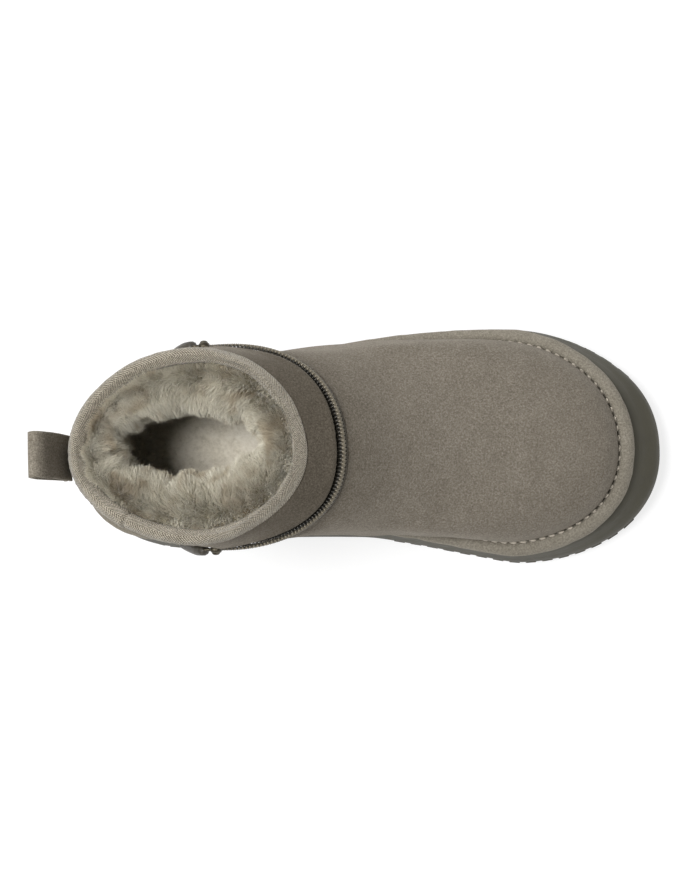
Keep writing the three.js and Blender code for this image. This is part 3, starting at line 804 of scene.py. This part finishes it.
# ---- rand, with its stitches
RAND_TUCK = 1.2
RAND_LEVEL, RAND_RISE, RAND_DROP = 4.9, 4.5, 4.4
RAND_SEAM_U = 0.988
STITCH_PITCH, STITCH_HALF, STITCH_THICK = 4.35, 1.5, 0.6
STITCH_TURN = 2.32


def rand_section(u, a):
    """a runs from the inner top (pi) over the roll to the outer bottom (-pi / 2)."""
    inner = upper_at(u, np.full_like(u, 0.075)) - plan_normal(u) * RAND_TUCK
    rim = plan(u, RAND_OUT, RAND_OUT_TOE)
    over = np.maximum(a, 0)
    under = np.clip(-a / (math.pi / 2), 0, 1)
    share = 0.5 + 0.5 * np.cos(over) - 0.09 * under ** 2
    p = mix(inner, rim, share[..., None])
    p[..., 2] = sole_top(p[..., 0]) + RAND_LEVEL + RAND_RISE * np.sin(over) - RAND_DROP * under
    return p


def make_rand():
    uu, aa = round_grid(620, np.linspace(math.pi, -math.pi / 2, 34))
    p = rand_section(uu, aa)
    over = np.maximum(aa, 0)[..., None]
    out = unit(plan_normal(uu) * np.cos(over) + UP * np.sin(over))
    t, length = even_steps(lambda s: rand_section(s, np.full_like(s, 2.4)), STITCH_PITCH)
    # Each hole pulls a dip into the roll.
    hole = np.interp(uu[:, :1], t, np.arange(len(t)))
    dip = 0.2 * np.abs(np.cos(math.pi * hole)) ** 10 * hump(aa - 2.35, 0.45)
    relief = 0.22 * lumps(p, 7, 21) + 0.12 * lumps(p, 3, 22) + 0.25 * lumps(p, 24, 23) - dip
    # The rand's ends meet in a butt seam at the back of the heel.
    relief -= 0.7 * hump((uu + 0.5) % 1.0 - (RAND_SEAM_U - 0.5), 0.0016)
    mesh_piece("rand_roll", p + out * relief[..., None], round_faces(p), vectors(uu * length, aa * 6))
    # Thick thread in the groove, one visible run per stitch.
    us, steps = stitch_steps(t, length, STITCH_HALF, 7)
    line = rand_section(us, STITCH_TURN + 0.12 * steps * np.ones_like(us))
    line = line + plan_normal(us) * (0.3 - 0.4 * np.abs(steps) ** 3)[..., None]
    line[..., 2] += 0.9 - 0.9 * np.abs(steps) ** 4
    mesh_piece("rand_stitches", *tubes(line, thread_radius(STITCH_THICK, steps), 8))


# ---- sole
SOLE_TUCK = 0.5
ARCH_BACK, ARCH_FRONT, TREAD_FRONT = 50, 104, 220
LUG_INNER, LUG_BEVEL, LUG_ROOT = 13.6, 0.35, LUG_DEEP + 0.4
# A lug's section across the foot: share of the way out, how far past the edge, height.
LUG_SECTION = (
    (0.0, 0.2, LUG_ROOT), (0.0, 0.2, 0.25), (0.04, 0.2, 0.0),
    (0.96, 0.2, 0.0), (1.0, 0.5, 0.25), (1.0, 0.5, LUG_ROOT),
)
LUG_ENDS = np.array([[0, 4, 8, 12], [12, 16, 20, 0], [15, 11, 7, 3], [3, 23, 19, 15]])
STRIP_HALF = 13.8
STRIP_SECTION = ((-1.0, 2.9), (-0.99, 0.3), (-0.96, 0.0), (0.96, 0.0), (0.99, 0.3), (1.0, 2.9))
STRIP_ENDS = np.array([[0, 1, 2, 3], [0, 3, 4, 5]])


def make_sole():
    nu = 480
    u = np.arange(nu) / nu
    up = np.concatenate([np.linspace(0, 0.1, 9), np.linspace(0.1, 1.0, 26)[1:]])
    rings = []
    for share in up:
        flare = side_flare(share)
        out = mix(RAND_OUT - SOLE_TUCK, FLARE, flare)
        p = plan(u, out, mix(RAND_OUT_TOE - SOLE_TUCK, FLARE_TOE, flare))
        p[:, 2] = mix(ground(p[:, 0]) + LUG_DEEP, sole_top(p[:, 0]), share)
        rings.append(p + plan_normal(u) * (0.12 * lumps(p, 30, 31))[:, None])
    points = np.stack(rings, 1)
    faces = [round_faces(points)]
    # Underside and top are closed by strips across the foot.
    j = np.arange(1, nu // 2 - 1)
    quads = np.stack([j, j + 1, nu - j - 1, nu - j], -1)
    ends = np.array([[0, 1, nu - 1], [nu // 2 - 1, nu // 2, nu // 2 + 1]])
    faces += [cap[:, ::-1] * len(up) for cap in (quads, ends)]
    faces += [cap * len(up) + len(up) - 1 for cap in (quads, ends)]
    mesh_piece("sole_body", points, faces)


def tread_reach(x, lateral):
    return half_width(x, FLARE - 0.15, FLARE_TOE - 0.15, lateral)


def lug(x, side):
    """One closed cross lug from the plain strip to the sole's edge, or None where none fits."""
    half = (LUG_PITCH - LUG_GROOVE) / 2
    xs = x + np.array([-half, LUG_BEVEL - half, half - LUG_BEVEL, half])
    reach = tread_reach(xs, side > 0)
    if reach.min() < LUG_INNER + 3:
        return None
    bevel = np.array([0.3, 0.0, 0.0, 0.3])
    rows = []
    for share, past, lift in LUG_SECTION:
        y = mix(LUG_INNER, reach + past, share) * side
        rows.append(vectors(xs, y, ground(xs) + np.maximum(bevel, lift)))
    ends = LUG_ENDS[:, ::-1] if side < 0 else LUG_ENDS
    return np.concatenate(rows), np.concatenate([grid_faces(6, 4, wrap_rows=True, flip=side > 0), ends])


def plain_strip():
    spans = ((-30.5, 48, 60), (48, 106, 40), (106, 221, 80))
    xs = np.unique(np.concatenate([np.linspace(*span) for span in spans]))
    reach = np.minimum(tread_reach(xs, False), tread_reach(xs, True))
    half = np.minimum(STRIP_HALF, np.maximum(reach - 1.0, 0.5))
    rows = [vectors(xs, half * share, ground(xs) + lift) for share, lift in STRIP_SECTION]
    ends = [STRIP_ENDS[:, ::-1], STRIP_ENDS + (len(xs) - 1) * 6]
    return np.stack(rows, 1).reshape(-1, 3), np.concatenate([grid_faces(len(xs), 6), *ends])


def make_tread():
    """Cross lugs down both edges and a plain strip in the middle, under the sole."""
    places = [i * LUG_PITCH for i in range(-4, 30)]
    places = [x for x in places if not ARCH_BACK < x < ARCH_FRONT and x <= TREAD_FRONT]
    lugs = [lug(x, side) for x in places for side in (1, -1)]
    points, faces = joined([shape for shape in lugs if shape] + [plain_strip()])
    mesh_piece("sole_tread", points, faces, flat=True)


# ---- footbed
# Its edge from the bottom up: how far further in than its plan, and height.
INSOLE_EDGE = (
    (0.4, 0.5), (-0.4, 1.6), (-0.4, INSOLE_THICK - 1.8), (0.5, INSOLE_THICK - 0.5), (2.0, INSOLE_THICK),
)


def make_insole():
    nu = 260
    u = np.arange(nu) / nu
    rings = []
    for inset, lift in INSOLE_EDGE:
        p = plan(u, -INSOLE_INSET - inset, -INSOLE_INSET - inset)
        p[:, 2] = sole_top(p[:, 0]) + lift
        rings.append(p)
    rim = rings[-1]
    middle = vectors(rim[:, 0], (rim[:, 1] + rim[-np.arange(nu) % nu, 1]) / 2, 0.0)
    for share in np.linspace(0.06, 1.0, 40):
        p = mix(rim, middle, share)
        uneven = 0.7 * lumps(p, 15, 41) + 0.25 * lumps(p, 4, 42)
        p[:, 2] = sole_top(p[:, 0]) + INSOLE_THICK - 0.9 * smooth(share) + uneven
        rings.append(p)
    points = np.stack(rings, 1)
    mesh_piece("felt_insole", points, round_faces(points))


# ---- knitted collar tape
TAPE_DIP_PITCH, TAPE_STITCH_PITCH, TAPE_STITCH_THICK = 5.5, 3.4, 0.16
TAPE_JOINT_U = 0.842


def tape_pinch(u):
    """How much narrower the tape is at the front, where the fleece climbs over it."""
    return 2.4 * smooth((along(u) - 0.5) / 0.35)[..., None]


def tape_controls(u):
    """Points over the rim, from the outer edge of the tape to its inner edge."""
    one = np.ones_like(u)
    rim, inner = upper_at(u, one), inside_at(u, one)
    flat = unit((inner - rim) * LEVEL)
    inner = inner - flat * tape_pinch(u)
    edge = mix(0.925, 0.962, along(u))
    half = (edge + 1) / 2
    low, mid = upper_at(u, edge), upper_at(u, half)
    return np.stack([
        low + upper_normal(u, edge) * 0.35,
        low + upper_normal(u, edge) * 1.45,
        mid + upper_normal(u, half) * 1.7,
        rim - flat * 1.45 + UP * 0.5,
        rim + UP * 1.7,
        mix(rim, inner, 0.5) + UP * 2.2,
        inner + UP * 1.6,
        inner + flat * 1.5 + UP * 0.1,
        inner + flat * 1.6 - UP * 2.4,
        inner + flat * 0.8 - UP * 3.4,
    ], 1)


def catmull(points, count):
    """A smooth run through the control points on axis 1."""
    n = points.shape[1]
    t = np.linspace(0, n - 1, count)
    i = np.clip(t.astype(int), 0, n - 2)
    f = (t - i)[None, :, None]
    a, b, c, d = [points[:, np.clip(i + k, 0, n - 1)] for k in (-1, 0, 1, 2)]
    curve = 2 * b + (c - a) * f + (2 * a - 5 * b + 4 * c - d) * f ** 2 + (3 * b - a - 3 * c + d) * f ** 3
    return 0.5 * curve


def make_tape():
    uu, _ = round_grid(560, np.arange(64))
    p = catmull(tape_controls(uu[:, 0]), uu.shape[1])
    normal = unit(np.cross(np.gradient(p, axis=1), np.roll(p, -1, 0) - np.roll(p, 1, 0)))
    t, length = even_steps(lambda s: upper_at(s, np.ones_like(s)), TAPE_DIP_PITCH)
    across = np.concatenate([[0], np.cumsum(np.linalg.norm(np.diff(p, axis=1), axis=2).mean(0))])
    # Hidden stitches pull small dips along the inner edge.
    hole = np.interp(uu[:, :1], t, np.arange(len(t)))
    dips = np.abs(np.cos(math.pi * hole)) ** 12 * hump(across - across[-1] + 2.2, 0.9)
    relief = 0.22 * lumps(p, 12, 51) + 0.1 * lumps(p, 4, 52) - 0.5 * dips
    # The tape's ends meet on the inner side at the back, one over the other.
    past = uu - TAPE_JOINT_U
    relief += np.where(past > 0, 0.65, 0.0) * np.exp(-np.maximum(past, 0) / 0.02) - hump(past, 0.0022)
    mesh_piece("collar_tape", p + normal * relief[..., None], round_faces(p), vectors(uu * length, across))
    # The seam line that holds the tape, near its outer edge.
    t, length = even_steps(lambda s: upper_at(s, np.full_like(s, 0.95)), TAPE_STITCH_PITCH)
    us, steps = stitch_steps(t, length, 0.95, 5)
    vs = mix(0.937, 0.968, along(us))
    line = upper_at(us, vs) + upper_normal(us, vs) * (1.62 - 0.4 * np.abs(steps) ** 3)[..., None]
    mesh_piece("tape_stitches", *tubes(line, thread_radius(TAPE_STITCH_THICK, steps), 6))


# ---- zip
ZIP_STEP, COIL_PITCH, COIL_SIDES = 0.8, 0.78, 8
# The woven tape's section, across and out; across grows towards the vamp.
ZIP_TAPE = np.array([
    (-4.4, -1.2), (-3.2, -1.15), (-2.0, -1.0), (-1.3, -0.5), (-0.4, -0.1),
    (0.4, 0.0), (1.4, -0.1), (2.6, -0.3), (3.3, -0.7),
])
# One loop of the coil's wire: across, out, along and the wire's radius.
COIL_LOOP = np.array([
    (-0.7, 1.1, -0.25, 0.4), (-0.62, 1.6, -0.1, 0.52), (-0.1, 1.85, 0.05, 0.52), (0.6, 1.7, 0.2, 0.44),
    (1.2, 1.35, 0.3, 0.4), (1.62, 0.9, 0.38, 0.36), (1.75, 0.3, 0.42, 0.34), (1.5, -0.2, 0.45, 0.34),
])
WELT_STEP, WELT_LAY, WELT_SIDES, WELT_RADIUS = 0.3, 1.5, 12, 0.5
WELT_ACROSS, WELT_OUT = 2.65, 0.6
# A slider's domes: long, wide, high, start, base and squareness.
SLIDER_DOMES = (
    (4.6, 6.2, 3.4, 0.3, 0.4, 3.2),
    (3.4, 3.8, 2.2, 1.0, 2.4, 2.2),
    (2.0, 6.6, 1.6, 0.0, 0.8, 3.5),
    (4.6, 3.0, 1.5, 3.9, 1.5, 2.4),
)
PULL_WIDE, PULL_THICK, PULL_OUT = 3.7, 2.6, 2.85
ZIP_ENDS = (("lateral", 0.0, -1.0), ("medial", 1.0, 1.0))


def make_zip_tape():
    t, length = even_steps(zip_points, ZIP_STEP)
    p, out, _, across = frame_on(zip_path, t)
    rows = np.stack([p + across * a + out * h for a, h in ZIP_TAPE], 1)
    uv = vectors((t * length)[:, None], ZIP_TAPE[:, 0])
    mesh_piece("zip_tape", rows, grid_faces(len(t), len(ZIP_TAPE)), uv)


def make_coil():
    """Nylon coil: one bent loop of wire per tooth, the two sides meeting in the middle."""
    t, _ = even_steps(zip_points, COIL_PITCH)
    p, out, travel, across = [part[:, None] for part in frame_on(zip_path, t)]
    side = np.where(np.arange(len(t)) % 2 == 0, 1.0, -1.0)[:, None, None]
    sideways, outward, onward = [COIL_LOOP[None, :, k:k + 1] for k in range(3)]
    line = p + across * (sideways * side + 0.3) + out * (outward + 0.35) + travel * onward
    points, faces = tubes(line, COIL_LOOP[:, 3], COIL_SIDES)
    # UV x runs from 1 at the start of each loop to 0 at its end and carries the painted highlight on the
    # crowns.
    shine = np.tile(np.repeat(np.linspace(1, 0, len(COIL_LOOP)), COIL_SIDES), len(t))
    mesh_piece("zip_coil", points, faces, vectors(shine, shine))


def make_welt():
    """A corded welt along the lower edge of the zip's tape, twisted like a fine rope."""
    t, _ = even_steps(zip_points, WELT_STEP)
    p, out, _, across = [part[:, None] for part in frame_on(zip_path, t)]
    turn = np.arange(len(t))[:, None] * WELT_STEP / WELT_LAY * 2 * math.pi
    a = turns(WELT_SIDES)
    swell = WELT_RADIUS * (1 + 0.16 * np.cos(2 * (a - turn)))
    cord = p + across * (WELT_ACROSS + swell * np.cos(a))[..., None]
    cord = cord + out * (WELT_OUT + swell * np.sin(a))[..., None]
    mesh_piece("zip_welt", cord, tube_faces(len(t), WELT_SIDES, turned=True))


def dome(frame_now, long, wide, high, start, base, square, steps=22, sides=36):
    """A rounded block on the surface, running along travel from start."""
    p, out, travel, across = frame_now
    ss, aa = np.meshgrid(np.linspace(0, math.pi, steps), turns(sides), indexing="ij")
    swell = rounded(np.sin(ss), 2 / square)
    lx = start + long / 2 - rounded(np.cos(ss), 2 / square) * long / 2
    ly = rounded(np.cos(aa), 2 / square) * swell * wide / 2
    lz = base + high / 2 + rounded(np.sin(aa), 2 / square) * swell * high / 2
    return p + travel * lx[..., None] + across * ly[..., None] + out * lz[..., None]


def make_slider(side, end, away):
    frame_now = frame_on(zip_path, np.array(end))
    shapes = []
    for long, wide, high, start, base, square in SLIDER_DOMES:
        part = dome(frame_now, away * long, wide, high, away * start, base, square)
        faces = grid_faces(part.shape[0], part.shape[1], wrap_cols=True, flip=away > 0)
        shapes.append((part.reshape(-1, 3), faces))
    mesh_piece("slider_" + side, *joined(shapes))


def make_pull(side, end, away):
    """A padded leather pull lying back and down from the slider."""
    start_u, start_v = zip_path(np.array(end))

    def path(t):
        return start_u + away * (0.0185 + 0.05 * t), start_v - 0.21 * t

    steps, sides = 60, 48
    t = np.linspace(0, 1, steps)
    p, out, _, across = frame_on(path, t)
    tip = np.sqrt(np.clip(1 - np.clip((t - 0.82) / 0.18, 0, 1) ** 2, 0.0, 1))
    root = np.sqrt(np.clip(1 - (1 - np.clip(t / 0.1, 0, 1)) ** 2, 0.0, 1))
    root = np.maximum(root, 0.02)
    wide = (PULL_WIDE * tip * mix(0.6, 1.0, smooth(t / 0.3)) * root)[:, None]
    thick = (PULL_THICK * tip ** 0.6 * root * mix(0.75, 1.0, np.sin(math.pi * t)))[:, None]
    a = turns(sides)
    ly = wide * rounded(np.cos(a), 0.7)
    lz = PULL_OUT + thick * rounded(np.sin(a), 0.85)
    # A shallow groove inside the edge of the outer face.
    lz -= 0.22 * hump(np.abs(ly) - (wide - 0.9), 0.25) * (np.sin(a) > 0)
    q = p[:, None] + across[:, None] * ly[..., None] + out[:, None] * lz[..., None]
    mesh_piece("pull_" + side, q, tube_faces(steps, sides))


# ---- heel loop
# The middle of the strip, x and z, from its inner sewn end over the top to its outer one.
LOOP_LINE = (
    (-28.0, 86.6), (-27.0, 93.0), (-26.5, 98.0), (-26.7, 105.0), (-26.9, 113.0), (-27.2, 121.0),
    (-28.2, 128.0), (-30.7, 131.5), (-33.1, 129.8), (-34.2, 124.0), (-33.4, 114.0), (-32.0, 105.5),
    (-30.2, 99.0), (-29.1, 93.0), (-30.1, 86.6),
)
LOOP_HALF, LOOP_THICK, LOOP_EDGE = LOOP_WIDE / 2, 0.95, 0.45
HUG_TOP, HUG_FADE, HUG_ROUND = 98, 20, 150
LOOP_STITCH_PITCH, LOOP_STITCH_INSET, LOOP_STITCH_THICK = 2.7, 1.5, 0.2


def heel_hug(y, level):
    """How far the strip's sewn end bends forward round the back of the heel."""
    return (1 - smooth((level - HUG_TOP) / HUG_FADE)) * y ** 2 / HUG_ROUND


def loop_section():
    top = [(LOOP_HALF * s, LOOP_THICK) for s in np.linspace(-1, 1, 17) * 0.985]
    low = [(y, -thick) for y, thick in top[::-1]]
    right = [(LOOP_HALF, LOOP_EDGE), (LOOP_HALF, -LOOP_EDGE)]
    return np.array(top + right + low + [(-y, z) for y, z in right[::-1]])


def loop_stitches(path, out):
    """Rows along both edges of the strip, and a bar of stitches where it is sewn down."""
    length = np.concatenate([[0], np.cumsum(np.linalg.norm(np.diff(path, axis=0), axis=1))])
    steps = np.linspace(-1, 1, 5)
    edge = LOOP_HALF - LOOP_STITCH_INSET
    lines = []
    for y in (-edge, edge):
        for s in np.arange(8.0, length[-1] - 4.0, LOOP_STITCH_PITCH):
            at = s + steps * 0.85
            c = vectors(*[np.interp(at, length, path[:, k]) for k in range(3)])
            o = unit(vectors(*[np.interp(at, length, out[:, k]) for k in range(3)]))
            c = c + o * (LOOP_THICK + 0.08 - 0.25 * np.abs(steps) ** 3)[:, None]
            c[:, 1] += y + LOOP_SHIFT
            c[:, 0] += heel_hug(c[:, 1], c[:, 2])
            lines.append(c)
    for y in np.arange(-LOOP_HALF + 2.6, LOOP_HALF - 2.4, 1.9):
        for z in (90.0, 95.5):
            c = vectors(-30.15 - 0.09 * (95.5 - z), y + LOOP_SHIFT + steps * 0.6, z)
            c[:, 0] += heel_hug(c[:, 1], z)
            lines.append(c)
    return tubes(np.stack(lines), LOOP_STITCH_THICK, 6)


def make_loop():
    line = np.array(LOOP_LINE, float)
    path = catmull(vectors(line[:, 0], 0.0, line[:, 1])[None], 140)[0]
    travel = unit(np.gradient(path, axis=0))
    out = vectors(-travel[:, 2], 0.0, travel[:, 0])
    section = loop_section()
    p = path[:, None] + out[:, None] * section[:, 1:] + np.array([0, 1.0, 0]) * section[:, :1]
    p[..., 1] += LOOP_SHIFT
    p[..., 0] += heel_hug(p[..., 1], path[:, 2:])
    p = p + 0.12 * lumps(p, 5, 61)[..., None] * out[:, None]
    p[..., 1] += 0.25 * lumps(p, 9, 62) * (np.abs(section[:, 0]) > LOOP_HALF * 0.9)
    mesh_piece("heel_loop", p, tube_faces(len(path), len(section)))
    mesh_piece("loop_stitches", *loop_stitches(path, out))


# ---- fleece
# Fleece: a thick roll inside the collar round a narrow oval hole, then the lined walls below.
# w runs 0 to 1 from under the tape over the roll to its underside, and 1 to 2 down to the footbed.
HOLE_CENTRE, HOLE_HALF = (34.2, 3.2), (31.0, 14.6)
ROLL_COLUMNS = ("w", "inward", "up")
ROLL = (
    (0, -0.02, -4.5), (0.08, 0.05, -1.4), (0.2, 0.18, 1.0), (0.35, 0.4, 1.9), (0.5, 0.63, 0.8),
    (0.65, 0.83, -2.6), (0.8, 0.96, -8.5), (0.9, 1.0, -14.5), (1.0, 0.98, -22.0),
)
LINING_TOP_V, LINING_OUT = 0.74, 1.0
PILE_FRONT = 126
# Each pile's name, strands, and ranges of u, w and strand length.
PILES = (
    ("fleece_pile_outer", 38000, (0.0, 0.5), (0.0, 1.0), (4.6, 6.6)),
    ("fleece_pile_inner", 38000, (0.5, 1.0), (0.0, 1.0), (4.6, 6.6)),
    ("fleece_pile_low", 22000, (0.0, 1.0), (0.95, 1.75), (3.6, 5.2)),
)
# A strand at four steps from its root to its tip: how far along, its bend and its width.
STRAND_AT = np.array([0.0, 0.4, 0.75, 1.0])
STRAND_BEND = np.array([0.0, 0.05, 0.04, -0.04])
STRAND_WIDE = np.array([0.3, 0.25, 0.16, 0.0])
STRAND_FACES = np.array([[0, 1, 3], [0, 3, 2], [2, 3, 5], [2, 5, 4], [4, 5, 6]])
STRAND_CORNERS = np.array([0, 0, 1, 1, 2, 2, 3])

roll_shape = columns(ROLL_COLUMNS, ROLL)


def fleece_level(u, w):
    rim = inside_at(u, np.ones_like(u))
    a = 2 * np.pi * u
    x, y = HOLE_CENTRE[0] - HOLE_HALF[0] * np.cos(a), HOLE_CENTRE[1] + HOLE_HALF[1] * np.sin(a)
    hole = vectors(x, y, rim[..., 2])
    on_roll = np.clip(w, 0, 1)
    roll = mix(rim, hole, roll_shape["inward"](on_roll)[..., None])
    roll = roll + unit((rim - hole) * LEVEL) * tape_pinch(u) * (1 - smooth(w / 0.4))[..., None]
    roll[..., 2] += roll_shape["up"](on_roll)
    v = mix(LINING_TOP_V, 0.0, np.clip(w - 1, 0, 1))
    wall = inside_at(u, v, ring["wall"](v) - LINING_OUT)
    return mix(roll, wall, smooth((w - 0.98) / 0.2)[..., None])


def fleece_at(u, w):
    """A point on the mean surface of the pile, its normal, and the way the pile flows."""
    p = fleece_level(u, w)
    du = fleece_level(u + 0.004, w) - fleece_level(u - 0.004, w)
    dw = fleece_level(u, w + 0.012) - fleece_level(u, w - 0.012)
    n, flow = unit(np.cross(dw, du)), unit(dw)
    roll = smooth(w / 0.12) * (1 - smooth((w - 1.0) / 0.3))
    a = 2 * np.pi * u
    lane = vectors(60 * np.cos(a), 60 * np.sin(a), 16 * w)
    swell = 2.3 * lumps(lane, 12.0, 71) + 0.9 * lumps(p, 7.0, 72)
    return p + n * (swell * (0.35 + 0.65 * roll))[..., None], n, flow


def make_fleece_base():
    w = np.concatenate([np.linspace(0, 1.0, 60), np.linspace(1.0, 2.0, 46)[1:]])
    uu, ww = round_grid(340, w)
    p, n, _ = fleece_at(uu, ww)
    sink = mix(0.6, 2.6, smooth(ww / 0.15))[..., None]
    uv = vectors(0.25 + 0.25 * lumps(p, 2.5, 75), 0.5 + 0.5 * lumps(p, 7, 74))
    mesh_piece("fleece_backing", p - n * sink, round_faces(p), uv)


def make_pile(name, count, u_range, w_range, length_range, seed):
    """Tapered wool strands that lean with their neighbours in locks."""
    rng = np.random.default_rng(seed)
    u = rng.uniform(*u_range, count)
    w = rng.uniform(*w_range, count)
    p, n, flow = fleece_at(u, w)
    keep = p[:, 0] < PILE_FRONT
    w, p, n, flow = w[keep], p[keep], n[keep], flow[keep]
    k = len(w)
    root = p - n * mix(0.6, 2.8, smooth(w / 0.15))[:, None]
    lean = vectors(*[lumps(p, 10.0, s) for s in (81, 82, 83)])
    fine = vectors(*[lumps(p, 3.2, s) for s in (84, 85, 86)])
    stray = rng.normal(0, 1, (k, 3))
    lie = unit(n + 0.5 * flow + 0.42 * lean + 0.24 * fine + 0.19 * stray)
    curl = unit(np.cross(lie, fine + 0.3 * stray))
    length = (rng.uniform(*length_range, k) * mix(0.5, 1.0, smooth(w / 0.25)))[:, None]
    spine = root[:, None] + lie[:, None] * (STRAND_AT * length)[..., None]
    spine = spine + curl[:, None] * (STRAND_BEND * length)[..., None]
    spine[..., 2] -= 0.06 * STRAND_AT ** 2 * length
    face = unit(np.cross(lie, rng.normal(0, 1, (k, 3))))[:, None]
    half = face * STRAND_WIDE[None, :, None] * rng.uniform(0.6, 1.15, (k, 1, 1)) / 2
    # Left and right of each step in turn, ending in a single point at the tip.
    edge = np.array([-1, 1, -1, 1, -1, 1, 0])[:, None]
    points = spine[:, STRAND_CORNERS] + half[:, STRAND_CORNERS] * edge
    lock_tone_and_painted_shade = 0.84 + 0.2 * lumps(p, 4.0, 87) + 0.22 * lumps(p, 12, 88) + rng.normal(0, 0.09, k)
    # Painted shade: the fleece darkens where it meets the collar tape.
    lock_tone_and_painted_shade = np.clip(lock_tone_and_painted_shade - 0.6 * np.exp(-w / 0.04), 0, 1)
    points, faces = many(STRAND_FACES, points)
    mesh_piece(name, points, faces, vectors(STRAND_AT[STRAND_CORNERS], lock_tone_and_painted_shade[:, None]))


make_upper()
make_rand()
make_sole()
make_tread()
make_insole()
make_tape()
make_zip_tape()
make_coil()
make_welt()
for place in ZIP_ENDS:
    make_slider(*place)
for place in ZIP_ENDS:
    make_pull(*place)
make_loop()
make_fleece_base()
for number, pile in enumerate(PILES):
    make_pile(*pile, SEED + number)
